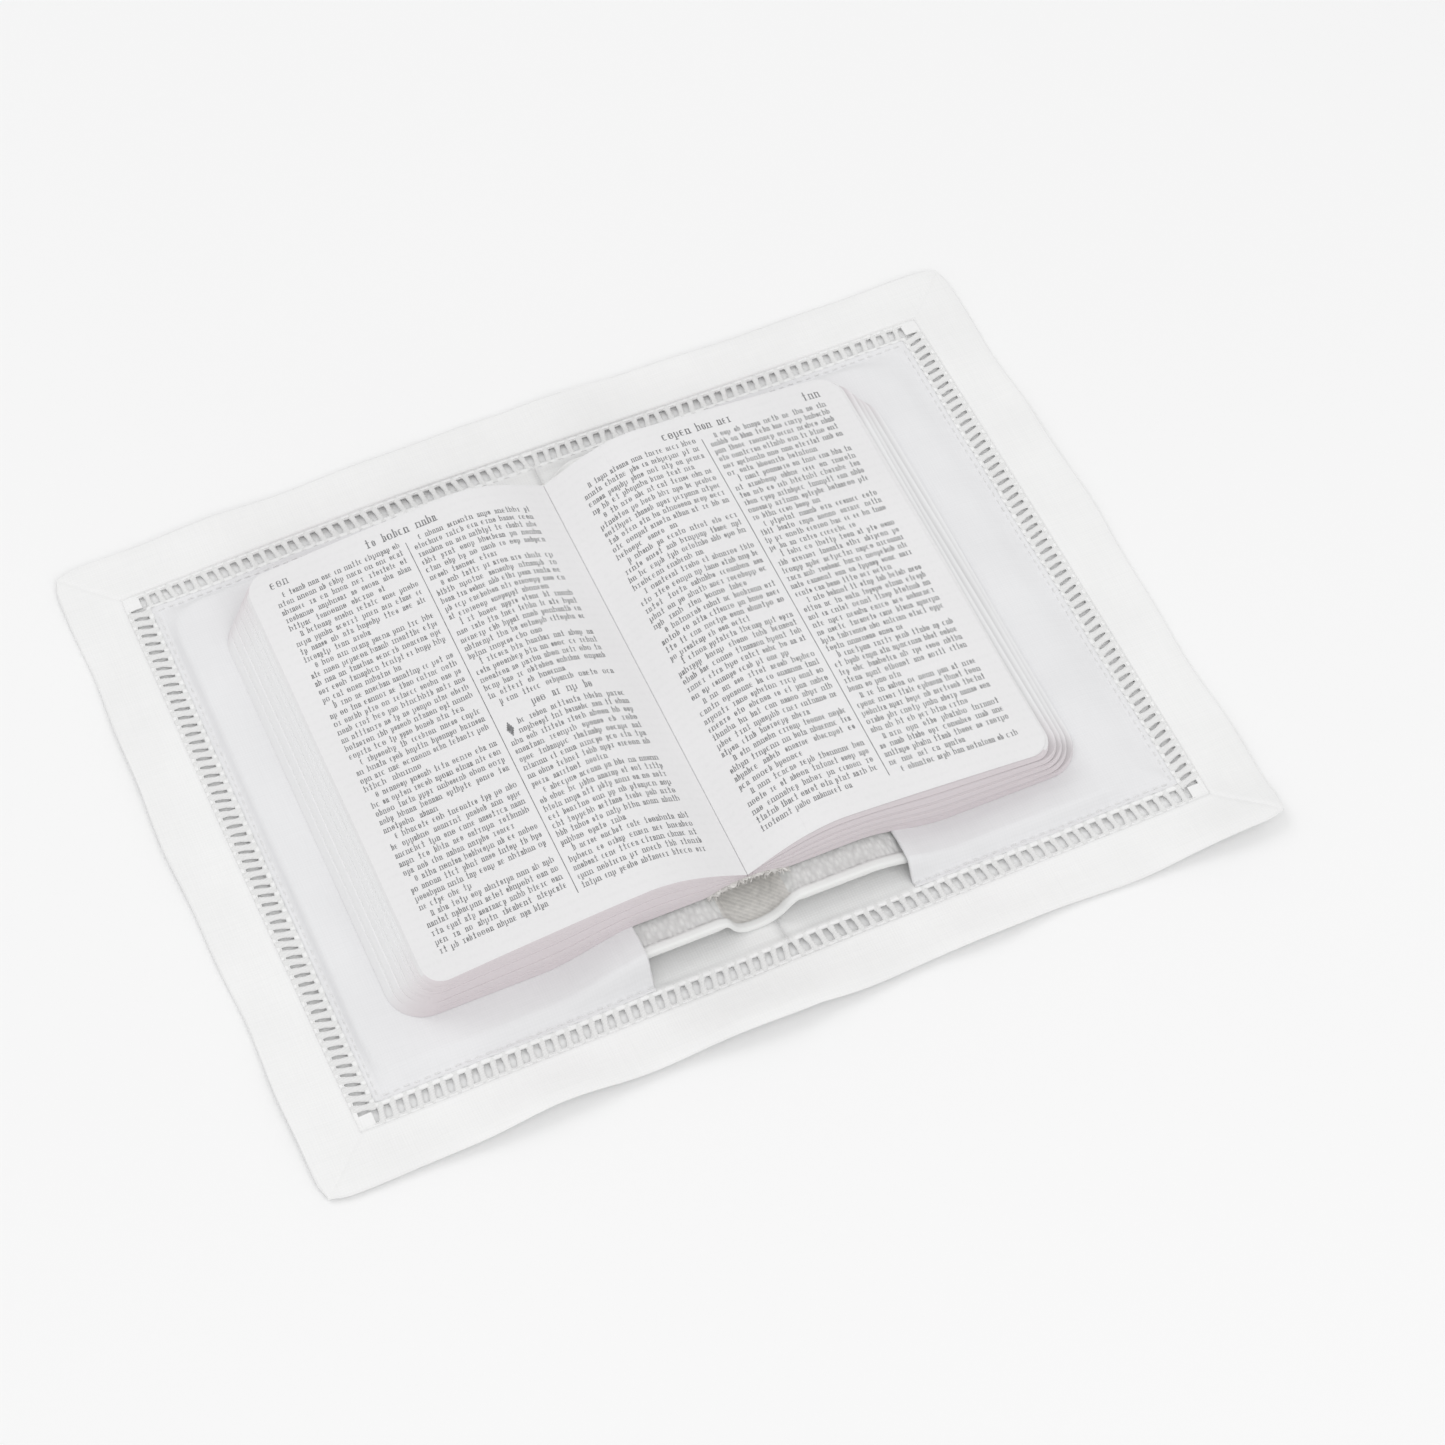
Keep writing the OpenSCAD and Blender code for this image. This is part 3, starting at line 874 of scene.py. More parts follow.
def sleeve_z(x, y):
    """Height of a sleeve's upper side at a point of the flat cloth."""
    px, py = linen_place(x, y)
    out = outside_cover(px, py)
    seam_x, seam_y = SEAM.x - SEAM_MARGIN, SEAM.y - SEAM_MARGIN
    ax, ay = np.abs(x), np.abs(y)
    to_seam = np.maximum(np.minimum(seam_x - ax, seam_y - ay), 0)
    share = out / np.maximum(out + to_seam, 1e-6)
    share = np.where((ax > seam_x) | (ay > seam_y), 1.0, share)
    high = cover_z(px) + COVER_T + SLIP + SLEEVE_T + 0.12 * MM * swell(out, 0, 3 * MM)
    table = linen_z(x, y) + LINEN_T + SLEEVE_T + 0.05 * MM
    from_leaves = np.maximum(np.abs(px) - FORE_LOW_X, np.abs(py) - PAGE_Y)
    free = smooth(from_leaves / (3 * MM))
    soft = (0.26 * MM * (1 + np.sin(py / (9 * MM) + px / (40 * MM)))
            + 0.2 * MM * (1 + np.sin(px / (12 * MM) - py / (17 * MM))))
    pucker = 0.14 * MM * np.sin((x + y) / (0.95 * MM)) * swell(to_seam, 0.8 * MM, 1.3 * MM)
    groove = -0.2 * MM * swell(to_seam, 0, 0.6 * MM) * (share > 0.6)
    turned = 0.12 * MM * (np.abs(x) < SLEEVE_LOW.x + SLEEVE_HEM_W)
    fall = smooth(share ** 1.25)
    return high + (table - high) * fall + free * (soft * (1 - share) + pucker) + groove + turned


def make_sleeve(half, side):
    """A sleeve that a cover is slipped into, sewn down on three sides."""
    hem = SLEEVE_LOW.x + SLEEVE_HEM_W
    xs = ([SLEEVE_LOW.x, SLEEVE_LOW.x + 0.5 * MM] + span(SLEEVE_LOW.x + 1.5 * MM, hem - 0.15 * MM, 1.2 * MM)
          + span(hem + 0.15 * MM, COVER_HIGH.x - 1 * MM, 1.6 * MM)
          + span(COVER_HIGH.x - 0.5 * MM, SEAM.x, 0.45 * MM))
    edge = span(SEAM.y, COVER_HIGH.y - 1.5 * MM, 0.35 * MM)
    ys = [-y for y in edge] + span(-COVER_HIGH.y + 3 * MM, COVER_HIGH.y - 3 * MM, 1.8 * MM) + edge[::-1]

    def place(x, y):
        px, py = linen_place(x, y)
        return px, py, sleeve_z(x, y)

    obj = sheet_grid(f"sleeve_{half}", sorted(side * x for x in xs), ys, place)
    finish_surface(obj, 70, outwards=False)
    thicken(obj, SLEEVE_T)
    return obj


def make_stitching(half, side):
    """Machine stitches that hold a sleeve down."""
    s = bpy.context.scene.prayer_linen
    tubes = TubeBuilder()
    off = 0.35 * MM
    seam_x, seam_y = SEAM.x - SEAM_MARGIN + off, SEAM.y - SEAM_MARGIN + off
    runs = [((SLEEVE_LOW.x, -seam_y), (seam_x, -seam_y)), ((seam_x, -seam_y), (seam_x, seam_y)),
            ((seam_x, seam_y), (SLEEVE_LOW.x, seam_y))]
    for (x0, y0), (x1, y1) in runs:
        long = math.hypot(x1 - x0, y1 - y0)
        for i in range(int(long / s.stitch_pitch)):
            path = []
            for t, drop in ((-0.5, 0.22), (-0.3, 0.0), (0.3, 0.0), (0.5, 0.22)):
                d = ((i + 0.5) * s.stitch_pitch + t * s.stitch) / long
                x, y = side * (x0 + (x1 - x0) * d), y0 + (y1 - y0) * d
                px, py = linen_place(x, y)
                path.append((px, py, float(sleeve_z(np.array(x), np.array(y))) + (0.1 - drop) * MM))
            tubes.add(path, (0.07 * MM, 0.12 * MM, 0.12 * MM, 0.07 * MM), 6)
    return tubes.piece(f"sleeve_stitching_{half}")


# ---------------------------------------------------------------- case


def edge_rise(d):
    """How a cover's upper side rises over its rolled edge and sinks inside it, d inwards from the edge."""
    s = bpy.context.scene.prayer_case
    round_over = 0.8 * MM
    corner = round_over - np.sqrt(np.maximum(round_over ** 2 - np.maximum(round_over - d, 0) ** 2, 0))
    return 0.2 * MM - 0.5 * MM * smooth((d - 0.75 * s.roll) / (0.35 * s.roll)) - corner


# Where a rolled edge is cut across so that it can round over, in millimetres from the edge
ROLL_CUTS = (0.1, 0.3, 0.55, 0.8, 1.3, 1.8, 2.2, 2.6, 4.0)


def make_cover(half, side):
    """A cover: rolled edge round three sides, and a grained inside that is let in a little."""
    s = bpy.context.scene.prayer_case
    high = (COVER_HIGH.x, COVER_HIGH.y, COVER_T)
    cuts = span(LIP_X + 1 * MM, COVER_HIGH.x - 3 * MM, 1.5 * MM)
    cuts = cuts + [COVER_HIGH.x - d * MM for d in (0.3, 0.8, 1.6, 2.2)]
    rows = [sign * (COVER_HIGH.y - d * MM) for sign in (-1, 1) for d in ROLL_CUTS]
    obj = slab(f"cover_{half}", (LIP_X, -COVER_HIGH.y, 0), high, s.corner, cuts, rows)

    def bend(x, y, z):
        out = -signed_outside_cover(x, y)
        rise = edge_rise(np.maximum(out, 0))
        under = np.maximum(0.5 * MM - out, 0)
        z = np.where(z > COVER_T / 2, z + rise, z + 0.6 * under)
        return side * x, y, cover_z(x) + z

    reshape(obj, bend)
    finish_surface(obj, 50)
    return obj


# The middle of the channel's wall from the left to the right, across and up, in millimetres
CHANNEL_PATH = (
    (-9.4, 6.4), (-8.5, 6.42), (-7.5, 6.2), (-6.7, 5.2), (-5.9, 3.7), (-4.7, 2.3), (-3.0, 1.45), (-1.0, 1.2),
    (1.2, 1.35), (3.2, 2.0), (5.0, 3.3), (6.5, 5.0), (7.7, 6.0), (8.6, 6.35), (9.4, 6.4))


def smooth_path(points, parts):
    """More points on a smooth curve through the given ones."""
    ends = [points[0], *points, points[-1]]
    found = []
    for i in range(1, len(ends) - 2):
        a, b, c, d = (np.array(p) for p in ends[i - 1:i + 3])
        for k in range(parts):
            t = k / parts
            found.append(0.5 * (2 * b + (c - a) * t + (2 * a - 5 * b + 4 * c - d) * t ** 2
                                + (3 * b - a - 3 * c + d) * t ** 3))
    found.append(np.array(points[-1]))
    return found


def make_channel():
    """The hollow back of the case: a round-bottomed channel whose two lips thicken to meet the covers."""
    s = bpy.context.scene.prayer_case
    path = [p * MM for p in smooth_path(CHANNEL_PATH, 3)]
    near = [0.0, *ROLL_CUTS]
    ys = [-COVER_HIGH.y + d * MM for d in near] + span(-50 * MM, 50 * MM, 5 * MM)
    ys = ys + [COVER_HIGH.y - d * MM for d in reversed(near)]
    easing = 6
    loops = []
    for i, p in enumerate(path):
        before, after = path[max(i - 1, 0)], path[min(i + 1, len(path) - 1)]
        run = Vector((after[0] - before[0], 0, after[1] - before[1])).normalized()
        out = Vector((-run.z, 0, run.x))
        flat = min(i, len(path) - 1 - i) / easing
        out = out if flat >= 1 else Vector((0, 0, 1)).lerp(out, flat).normalized()
        half_t = s.channel_wall / 2 + (COVER_T - s.channel_wall) / 2 * (1 - smooth(flat))
        top, low = [], []
        for y in ys:
            d = COVER_HIGH.y - abs(y)
            middle = Vector((p[0], y, p[1]))
            top.append(middle + out * float(half_t + edge_rise(d)))
            low.append(middle - out * float(half_t - 0.6 * max(0.5 * MM - d, 0)))
        loops.append(top + low[::-1])
    obj = rings("case_channel", loops)
    finish_surface(obj, 60)
    return obj


def make_spine_lining(half, side):
    """Cloth and glue on the back of the leaves, ragged where it was cut at head and tail."""
    rng = random.Random(21 if side > 0 else 22)
    xs = [side * x for x in span(0, ARCH_X, 0.45 * MM)]
    rows = span(-PAGE_Y, PAGE_Y, 4 * MM)
    ragged = {}

    def place(x, y):
        z = leaves_low(x) - 0.12 * MM
        end = []
        for a, b in zip(x, y):
            key = (round(a / MM, 3), b > 0)
            if key not in ragged:
                ragged[key] = rng.uniform(-0.4, 0.9) * MM
            end.append(b + math.copysign(ragged[key], b) if abs(b) > PAGE_Y - 1e-6 else b)
        return x, np.array(end), z

    obj = sheet_grid(f"spine_lining_{half}", sorted(xs), rows, place)
    finish_surface(obj, 60, outwards=False)
    thicken(obj, 0.45 * MM)
    tubes = TubeBuilder()
    frays = 46
    for end in (-1, 1):
        for _ in range(frays):
            x = side * rng.uniform(0.2, 9.2) * MM
            z = float(leaves_low(x)) - rng.uniform(0.05, 0.5) * MM
            y = end * (PAGE_Y - 0.5 * MM)
            tip = end * rng.uniform(0.6, 1.9) * MM
            bend = (x + rng.uniform(-0.3, 0.3) * MM, y + tip * 0.6, z + rng.uniform(-0.1, 0.3) * MM)
            point = (x + rng.uniform(-0.6, 0.6) * MM, y + tip, z + rng.uniform(-0.5, 0.35) * MM)
            tubes.add([(x, y, z), bend, point], (0.13 * MM, 0.1 * MM, 0.03 * MM), 5)
    return join([obj, tubes.piece(f"frays_{half}")], f"spine_lining_{half}")


# ---------------------------------------------------------------- leaves


def leaf_point(side, t, reach, y, root):
    """A point of the leaves: t is the layer from 0 to 1, reach the share of the way to the fore-edge."""
    s = bpy.context.scene.prayer_pages
    spread = s.spread_back if side > 0 else s.spread_front
    x = root + (FORE_TOP_X + spread * (1 - t) - root) * reach
    low = leaves_low(x)
    high = page_z(side * x, y)
    return x, low + (high - low) * t


def make_leaves(half, side):
    """One half of the leaves, in bundles whose edges stand a little in and out."""
    s = bpy.context.scene.prayer_pages
    rng = random.Random(31 if side > 0 else 32)
    groups = 5
    bases = []
    for g in range(groups):
        corner = s.low_corner + (s.corner - s.low_corner) * g / (groups - 1)
        cuts = span(0.8 * MM, FORE_LOW_X - 2.2 * MM, 1.25 * MM)
        cuts = cuts + [FORE_LOW_X - d * MM for d in (0.35, 0.7, 1.1, 1.6)]
        bases.append(slab(f"bundle_{g}", (0, -PAGE_Y, 0), (FORE_LOW_X, PAGE_Y, 1 * MM), corner, cuts,
                          span(-40 * MM, 40 * MM, 8 * MM)))
    parts = []
    for k in range(s.bundles):
        group = k * groups // s.bundles
        activate(bases[group])
        bpy.ops.object.duplicate()
        part = bpy.context.object
        part.name = f"bundle_{k}"
        top_one = k == s.bundles - 1
        if top_one:
            bpy.ops.object.mode_set(mode="EDIT")
            for y in span(-PAGE_Y + 2 * MM, PAGE_Y - 2 * MM, 4 * MM):
                bpy.ops.mesh.select_all(action="SELECT")
                bpy.ops.mesh.bisect(plane_co=(0, y, 0), plane_no=(0, 1, 0))
            bpy.ops.object.mode_set(mode="OBJECT")
        teeth = 0.75 * MM if side > 0 else 0.12 * MM
        jitter = 0.0 if top_one else rng.uniform(-0.07, 0.07) * MM
        tail = 0.0 if top_one else rng.uniform(-0.05, 0.05) * MM
        kept = {}

        def curve(x, y, z):
            upper = np.where(z > 0.5 * MM, 1.0, 0.0)
            t = (k + upper) / s.bundles
            reach = x / FORE_LOW_X
            px, pz = leaf_point(side, t, reach, y, 0.05 * MM)
            within = t * groups - group
            wave = 0.2 * MM * np.sin(y / (17 * MM) + 1.7 * group) if side > 0 else 0.0
            tooth = teeth * (2 * within - 1) + wave + jitter
            tooth = np.where((upper > 0) & top_one, 0.0, tooth)
            free = smooth(reach * 4 - 3)
            gap = (0.35 if side > 0 else 0.05) * MM * free * upper * (within > 0.99)
            pz = pz - (0.0 if top_one else 0.03 * MM * upper + gap)
            kept["layer"] = t
            # Painted shade: on the top of the last bundle of each fanned group, the edge colour is marked
            # darker towards the inner side of the ledge, where the group above shades it, and left light at
            # the lip.
            from_edge = np.clip((FORE_LOW_X - x) / (1.3 * MM), 0, 1)
            kept["painted_ledge_shade"] = upper * (within > 0.99) * from_edge * (teeth > 0.5 * MM)
            kept["cast"] = np.clip((np.abs(y) - (PAGE_Y - s.low_corner)) / s.low_corner, 0, 1)
            return side * (px + tooth * free), y + np.sign(y) * tail, pz

        reshape(part, curve)
        for key, values in kept.items():
            attribute = part.data.attributes.new(key, "FLOAT", "POINT")
            attribute.data.foreach_set("value", values.astype(np.float32))
        if side < 0:
            part.data.flip_normals()
        parts.append(part)
    for base in bases:
        bpy.data.objects.remove(base)
    obj = join(parts, f"leaves_{half}")
    activate(obj)
    bpy.ops.object.shade_smooth_by_angle(angle=math.radians(40))
    dress(obj, "paper", "leaf_edges", "printed_paper")
    top_layer = 1 - 1.5 / s.bundles
    layer = obj.data.attributes["layer"].data
    for polygon in obj.data.polygons:
        on_top = min(layer[v].value for v in polygon.vertices) > top_layer and polygon.normal.z > 0.55
        polygon.material_index = 1 if on_top else 0
    return obj


def lower_under_leaf(obj):
    """Lowers the top of the right-hand leaves to make room for the leaf that turns."""

    def drop(x, y, z):
        top = np.abs(z - page_z(x, y)) < 0.02 * MM
        room = LEAF_ROOM * smooth((x - LEAF_ROOT_X + 0.1 * MM) / (0.1 * MM))
        return x, y, np.where(top, z - room, z)

    reshape(obj, drop)


def make_turning_leaf():
    """The leaf that turns, from its fold at the shoulder to the fore-edge."""
    s = bpy.context.scene.prayer_pages
    obj = slab("leaf_that_turns", (LEAF_ROOT_X, -PAGE_Y, 0), (FORE_TOP_X, PAGE_Y, LEAF_T), s.corner,
               span(LEAF_ROOT_X + 0.8 * MM, FORE_TOP_X - 0.8 * MM, 1.0 * MM),
               span(-PAGE_Y + 2 * MM, PAGE_Y - 2 * MM, 4 * MM))
    reshape(obj, lambda x, y, z: (x, y, page_z(x, y) - LEAF_T + z))
    finish_surface(obj, 40)
    return obj


# ---------------------------------------------------------------- print


class PrintBuilder:
    """Collects printed marks as thin slips of ink that lie on a surface, in random order."""

    def __init__(self, seed, surface, above=0.03 * MM, flip=False):
        self.rng = random.Random(seed)
        self.surface = surface
        self.above = above
        self.flip = flip
        self.boxes = []

    def bar(self, x0, x1, y0, y1):
        """One straight stroke."""
        self.boxes.append((x0, x1, y0, y1))

    def stem(self, x, low, high, thick, foot=True):
        """An upright stroke, with a small foot."""
        self.bar(x - thick / 2, x + thick / 2, low, high)
        if foot:
            self.bar(x - 1.25 * thick, x + 1.25 * thick, low, low + 0.55 * thick)

    def mark(self, x, y, w, h, bold=1.0):
        """One small mark: an upright or two, joined by thin strokes. Its form is drawn at random."""
        rng = self.rng
        thick, hair = 0.18 * MM * bold, 0.10 * MM * bold
        left, right = x + 0.7 * thick, x + w - 0.7 * thick
        kind = rng.random()
        if kind < 0.30:
            self.stem(left, y, y + h, thick)
            self.stem(right, y, y + 0.92 * h, thick)
            self.bar(left, right, y + 0.84 * h, y + 0.84 * h + hair)
        elif kind < 0.62:
            self.stem(left, y + 0.12 * h, y + 0.88 * h, 1.15 * thick, False)
            for level in (0.0, 0.9):
                self.bar(left, right - 0.1 * w, y + level * h, y + level * h + hair)
            if rng.random() < 0.6:
                self.bar(left, right, y + 0.5 * h, y + 0.5 * h + hair)
            if rng.random() < 0.6:
                self.stem(right, y + 0.12 * h, y + 0.88 * h, thick, False)
        elif kind < 0.80:
            self.stem(x + 0.5 * w, y, y + h * rng.choice((1.0, 1.5, 1.5)), thick)
            self.bar(x + 0.12 * w, x + 0.88 * w, y + 0.9 * h, y + 0.9 * h + hair)
        elif kind < 0.92:
            self.stem(left, y, y + 1.5 * h, thick)
            self.stem(right, y + 0.1 * h, y + 0.9 * h, thick, False)
            self.bar(left, right, y + 0.88 * h, y + 0.88 * h + hair)
        else:
            self.stem(left, y - 0.42 * h, y + h, thick)
            self.stem(right, y + 0.1 * h, y + 0.9 * h, thick, False)
            self.bar(left, right, y, y + hair)

    def line(self, x0, x1, y, h, full=1.0, bold=1.0):
        """A line of marks in groups, as words stand, that fills its measure or a share of it."""
        rng = self.rng
        letter = 0.84 * h
        room = (x1 - x0) * full
        words, ink = [], 0.0
        while ink + 0.7 * letter * len(words) < room - 2 * letter:
            spare = int((room - ink - 0.7 * letter * len(words)) / letter)
            count = max(min(rng.choice((2, 2, 3, 3, 4, 4, 5, 5, 6, 7, 8)), spare), 1)
            words.append([letter * rng.uniform(0.75, 1.15) for _ in range(count)])
            ink += sum(words[-1])
        if not words:
            return
        gaps = max(len(words) - 1, 1)
        gap = min(max((room - ink) / gaps, 0.5 * letter), 1.5 * letter)
        stretch = min(max((room - gap * (len(words) - 1)) / ink, 0.8), 1.25)
        x = x0
        for widths in words:
            for w in widths:
                self.mark(x, y, 0.8 * w * stretch, h, bold)
                x += w * stretch
            x += gap

    def column(self, x0, x1, y_top, y_low, heading_at=None):
        """A column of short paragraphs, broken by a heading and a tall lozenge if asked for."""
        s = bpy.context.scene.prayer_pages
        rng, y, left = self.rng, y_top, 0
        narrow = False
        while y > y_low:
            if heading_at is not None and heading_at + s.line_pitch > y > heading_at - s.line_pitch / 2:
                wide = x1 - x0
                self.line(x0 + 0.28 * wide, x1 - 0.22 * wide, y - 0.4 * s.line_pitch,
                          1.35 * s.mark_height, 1.0, 1.2)
                y -= 1.75 * s.line_pitch
                self.lozenge(x0 + 0.3 * MM, y, s.line_pitch)
                heading_at, left, narrow = None, 7, True
                self.line(x0 + 3.2 * MM, x1, y, s.mark_height)
                y -= s.line_pitch
                continue
            start = x0
            if narrow:
                start, narrow = x0 + 2.6 * MM, False
            elif left <= 0:
                left = rng.choice((4, 5, 5, 6, 7))
                self.mark(x0 + 1.7 * MM, y, 0.6 * MM, 1.3 * s.mark_height)
                start = x0 + 3.2 * MM
            left -= 1
            last = left <= 0
            self.line(start, x1, y, s.mark_height, rng.uniform(0.35, 0.9) if last else 1.0)
            y -= s.line_pitch

    def lozenge(self, x, y, pitch):
        """A tall lozenge that stands at the head of a chapter."""
        for k in range(7):
            half = (0.75 - abs(k - 3) * 0.2) * MM
            bottom = y - pitch + k * 0.5 * MM
            self.bar(x + 0.8 * MM - half, x + 0.8 * MM + half, bottom, bottom + 0.5 * MM)

    def page(self, side, heading=False):
        """Two columns with a rule, a running head and three marks in the outer corner."""
        s = bpy.context.scene.prayer_pages
        edges = [(s.column_in, s.rule_x - 1.3 * MM), (s.rule_x + 1.3 * MM, s.column_out)]
        for i, (near, far) in enumerate(edges):
            x0, x1 = (near, far) if side > 0 else (-far, -near)
            at = -2.0 * MM if heading and i == 0 else None
            self.column(x0, x1, s.head_y, -s.tail_y, at)
        rule = side * s.rule_x
        pieces = 24
        step = (s.head_y + s.tail_y + 0.5 * MM) / pieces
        for k in range(pieces):
            y = -s.tail_y + k * step
            self.bar(rule - 0.08 * MM, rule + 0.08 * MM, y, y + step)
        self.line(side * s.rule_x - 8 * MM, side * s.rule_x + 8.4 * MM, s.head_y + 2.9 * MM,
                  1.5 * s.mark_height, 1.0, 1.5)
        outer = side * s.column_out
        x0 = outer - (4.2 * MM if side > 0 else 0.0)
        for k in range(3):
            self.mark(x0 + k * 1.45 * MM, s.head_y + 2.9 * MM, 1.05 * MM, 1.55 * s.mark_height, 1.3)

    def piece(self, name, wanted=lambda x: True):
        """The marks whose middle wanted accepts, as one object."""
        boxes = np.array([b for b in self.boxes if wanted((b[0] + b[1]) / 2)])
        x = boxes[:, [0, 1, 1, 0]]
        y = boxes[:, [2, 2, 3, 3]]
        z = self.surface(x, y)
        up = -1 if self.flip else 1
        low = np.stack([x, y, z - up * 0.01 * MM], axis=2)
        high = np.stack([x, y, z + up * self.above], axis=2)
        points = np.concatenate([low, high], axis=1).reshape(-1, 3)
        sides = [(3, 2, 1, 0), (4, 5, 6, 7), (0, 1, 5, 4), (1, 2, 6, 5), (2, 3, 7, 6), (3, 0, 4, 7)]
        if self.flip:
            sides = [f[::-1] for f in sides]
        faces = (np.arange(len(boxes))[:, None, None] * 8 + np.array(sides)[None]).reshape(-1, 4)
        mesh = bpy.data.meshes.new(name)
        mesh.from_pydata(points.tolist(), [], faces.tolist())
        obj = bpy.data.objects.new(name, mesh)
        bpy.context.scene.collection.objects.link(obj)
        return dress(obj, "paper", "ink")


# ---------------------------------------------------------------- operators


class PRAYER_OT_linen(bpy.types.Operator):
    """Make the outer linen with its drawn-thread row and mitred hem"""

    bl_idname = "prayer.linen"
    bl_label = "Linen"
    bl_options = {"REGISTER", "UNDO"}

    def execute(self, context):
        for half, side in HALVES:
            panel = dress(make_panel(half, side), "linen", "linen")
            fold(panel)
            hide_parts(f"{half}_linen_panel", "spine_linen_strip")
            run = make_hem(half, side)
            corners = [make_hem_corner(half, side, away) for away in (1, -1)]
            hem = join([run, *corners], f"hem_{half}")
            finish_surface(hem, 50)
            dress(hem, "linen", "linen")
            fold(hem)
            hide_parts(f"{half}_hem_head", f"{half}_hem_tail", f"{half}_hem_fore",
                        "spine_hem_head", "spine_hem_tail")
            ladder = dress(make_ladder(half, side), "linen_thread", "thread")
            fold(ladder)
            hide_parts(f"{half}_ladder_threads", "spine_ladder_threads")
        deselect()
        return {"FINISHED"}


class PRAYER_OT_sleeves(bpy.types.Operator):
    """Make the two sleeves that the covers are slipped into"""

    bl_idname = "prayer.sleeves"
    bl_label = "Sleeves"
    bl_options = {"REGISTER", "UNDO"}

    def execute(self, context):
        for half, side in HALVES:
            sleeve = dress(make_sleeve(half, side), "linen", "sleeve_linen")
            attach(sleeve, f"{half}_half")
            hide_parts(f"{half}_sleeve", f"{half}_sleeve_hem")
            stitching = dress(make_stitching(half, side), "linen_thread", "thread")
            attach(stitching, f"{half}_half")
            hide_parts(f"{half}_sleeve_stitching")
        deselect()
        return {"FINISHED"}


class PRAYER_OT_case(bpy.types.Operator):
    """Make the covers and the hollow back of the case"""

    bl_idname = "prayer.case"
    bl_label = "Case"
    bl_options = {"REGISTER", "UNDO"}

    def execute(self, context):
        for half, side in HALVES:
            cover = dress(make_cover(half, side), "leatherette", "leatherette")
            fold(cover)
            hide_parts(f"{half}_cover_skin", f"{half}_cover_lining", f"{half}_cover_board")
            lining = dress(make_spine_lining(half, side), "spine_cloth", "spine_cloth")
            fold(lining)
            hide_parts("spine_lining")
        channel = dress(make_channel(), "leatherette", "leatherette", "spine_cloth")
        for polygon in channel.data.polygons:
            middle = polygon.center
            inside = abs(middle.y) < COVER_HIGH.y - 2 * MM and abs(middle.x) < 7.4 * MM
            polygon.material_index = 1 if inside and polygon.normal.z > 0.02 else 0
        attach(channel, "spine")
        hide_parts("case_spine")
        deselect()
        return {"FINISHED"}


class PRAYER_OT_leaves(bpy.types.Operator):
    """Make the leaves of both halves and the leaf that turns"""

    bl_idname = "prayer.leaves"
    bl_label = "Leaves"
    bl_options = {"REGISTER", "UNDO"}

    def execute(self, context):
        for half, side in HALVES:
            leaves = make_leaves(half, side)
            if side > 0:
                lower_under_leaf(leaves)
            fold(leaves)
            sections = [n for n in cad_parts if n.startswith(f"{half}_section_")]
            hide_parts(f"{half}_page_roots", *sections)
        leaf = dress(make_turning_leaf(), "paper", "printed_paper")
        fold_leaf(leaf)
        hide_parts("turning_leaf")
        deselect()
        return {"FINISHED"}


class PRAYER_OT_print(bpy.types.Operator):
    """Print the open pages, both sides of the leaf that turns and the page under it"""

    bl_idname = "prayer.print"
    bl_label = "Print"
    bl_options = {"REGISTER", "UNDO"}

    def execute(self, context):
        left = PrintBuilder(41, page_z)
        left.page(-1, heading=True)
        fold(left.piece("print_left"))
        right = PrintBuilder(42, page_z)
        right.page(1)
        fold(right.piece("print_right_root", lambda x: x < LEAF_ROOT_X))
        fold_leaf(right.piece("print_leaf_top", lambda x: x >= LEAF_ROOT_X))
        back = PrintBuilder(43, lambda x, y: page_z(x, y) - LEAF_T, flip=True)
        back.page(1)
        fold_leaf(back.piece("print_leaf_back", lambda x: x >= LEAF_ROOT_X))
        under = PrintBuilder(44, lambda x, y: page_z(x, y) - LEAF_ROOM, above=0.012 * MM)
        under.page(1)
        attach(under.piece("print_under_leaf", lambda x: x >= LEAF_ROOT_X), "back_half")
        deselect()
        return {"FINISHED"}


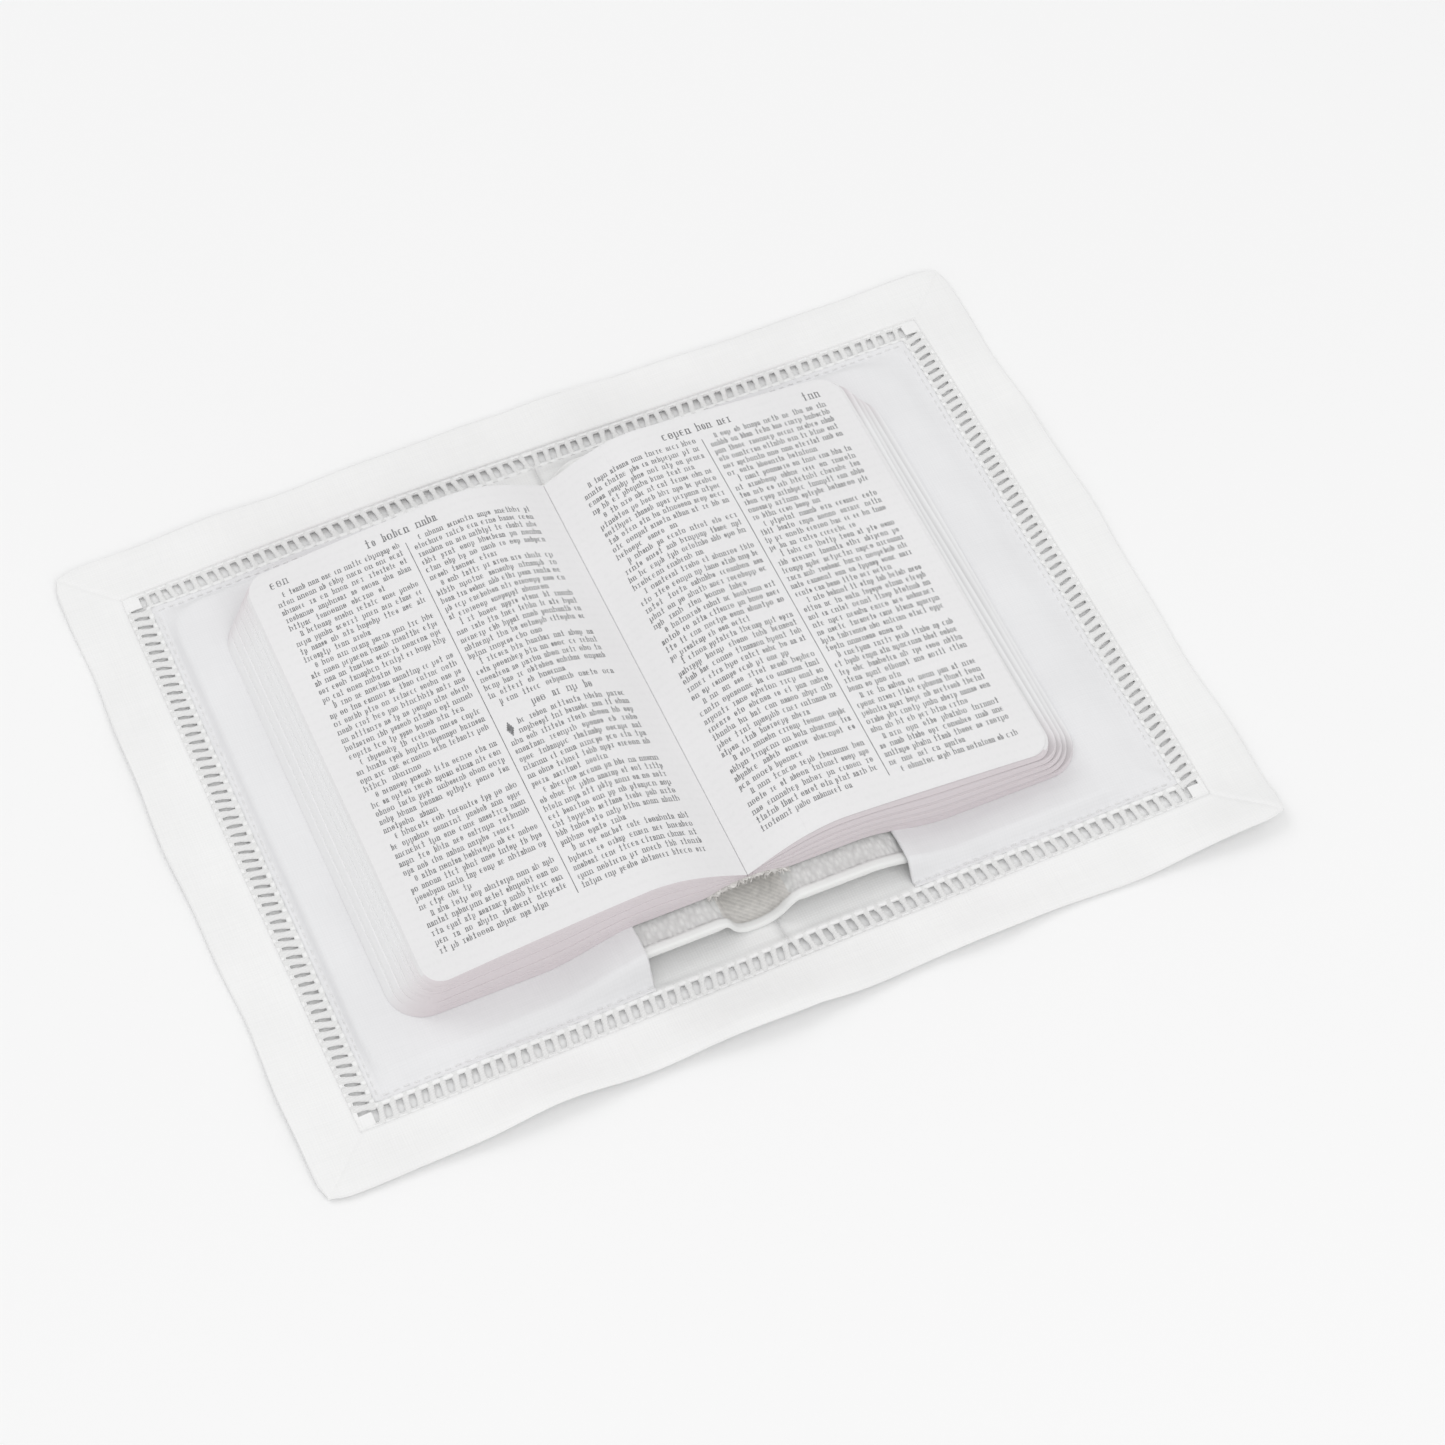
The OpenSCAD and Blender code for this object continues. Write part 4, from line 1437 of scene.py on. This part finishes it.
class PRAYER_OT_studio(bpy.types.Operator):
    """Make the plain floor, the lights and the camera"""

    bl_idname = "prayer.studio"
    bl_label = "Studio"
    bl_options = {"REGISTER", "UNDO"}

    def lamp(self, name, power, size, place):
        """A large round soft light that faces the book."""
        data = bpy.data.lights.new(name, "AREA")
        data.shape = "DISK"
        data.size = size
        data.energy = power
        lamp = bpy.data.objects.new(name, data)
        bpy.context.scene.collection.objects.link(lamp)
        lamp.location = place
        lamp.rotation_euler = lamp.location.to_track_quat("Z", "Y").to_euler()

    def execute(self, context):
        s = context.scene.prayer_studio
        level = math.cos(s.elevation)
        back = Vector((math.sin(s.azimuth) * level, -math.cos(s.azimuth) * level, math.sin(s.elevation)))
        data = bpy.data.cameras.new("camera")
        data.lens = s.lens
        data.sensor_width = 36
        data.clip_start = 0.01
        camera = bpy.data.objects.new("camera", data)
        context.scene.collection.objects.link(camera)
        camera.location = Vector(s.target) + back * s.distance
        camera.rotation_euler = back.to_track_quat("Z", "Y").to_euler()
        context.scene.camera = camera
        deselect()
        bpy.ops.mesh.primitive_plane_add(size=6, location=(0, 0, -0.02 * MM))
        floor = context.object
        floor.name = "floor"
        mat, shader, add = new_material("floor", s.floor_colour, 0.9)
        tint(mat, shader, add, noise(mat, add, 3, 2.0), shade(s.floor_colour, 0.99), s.floor_colour)
        floor.data.materials.append(mat)
        self.lamp("key", s.key, 1.8, (-1.1, 1.5, 2.3))
        self.lamp("front", s.front, 2.4, (0.2, -1.5, 2.0))
        world = context.scene.world or bpy.data.worlds.new("world")
        context.scene.world = world
        world.use_nodes = True
        world.node_tree.nodes["Background"].inputs["Color"].default_value = (1.0, 1.0, 1.0, 1)
        world.node_tree.nodes["Background"].inputs["Strength"].default_value = s.fill
        context.scene.view_settings.view_transform = "Standard"
        deselect()
        return {"FINISHED"}


class PRAYER_PT_panel(bpy.types.Panel):
    """Sidebar panel that lists the steps of the book"""

    bl_label = "Prayer book"
    bl_idname = "PRAYER_PT_panel"
    bl_space_type = "VIEW_3D"
    bl_region_type = "UI"
    bl_category = "Prayer book"

    def draw(self, context):
        for step in STEPS:
            self.layout.operator(step.bl_idname)
        for group in SETTINGS:
            settings = getattr(context.scene, group)
            for key in settings.__annotations__:
                self.layout.prop(settings, key)


SETTINGS = {"prayer_linen": LinenSettings, "prayer_case": CaseSettings, "prayer_pages": PageSettings,
            "prayer_studio": StudioSettings}
STEPS = (PRAYER_OT_studio, PRAYER_OT_linen, PRAYER_OT_sleeves, PRAYER_OT_case, PRAYER_OT_leaves,
         PRAYER_OT_print)


def register():
    """Registers the settings, the operators and the panel."""
    for name, group in SETTINGS.items():
        bpy.utils.register_class(group)
        setattr(bpy.types.Scene, name, bpy.props.PointerProperty(type=group))
    for step in (*STEPS, PRAYER_PT_panel):
        bpy.utils.register_class(step)


def unregister():
    """Takes away what register added."""
    for step in (PRAYER_PT_panel, *STEPS):
        bpy.utils.unregister_class(step)
    for name, group in SETTINGS.items():
        delattr(bpy.types.Scene, name)
        bpy.utils.unregister_class(group)


def main():
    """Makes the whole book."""
    register()
    bpy.ops.prayer.studio()
    bpy.ops.prayer.linen()
    bpy.ops.prayer.sleeves()
    bpy.ops.prayer.case()
    bpy.ops.prayer.leaves()
    bpy.ops.prayer.print()


if __name__ == "__main__":
    main()
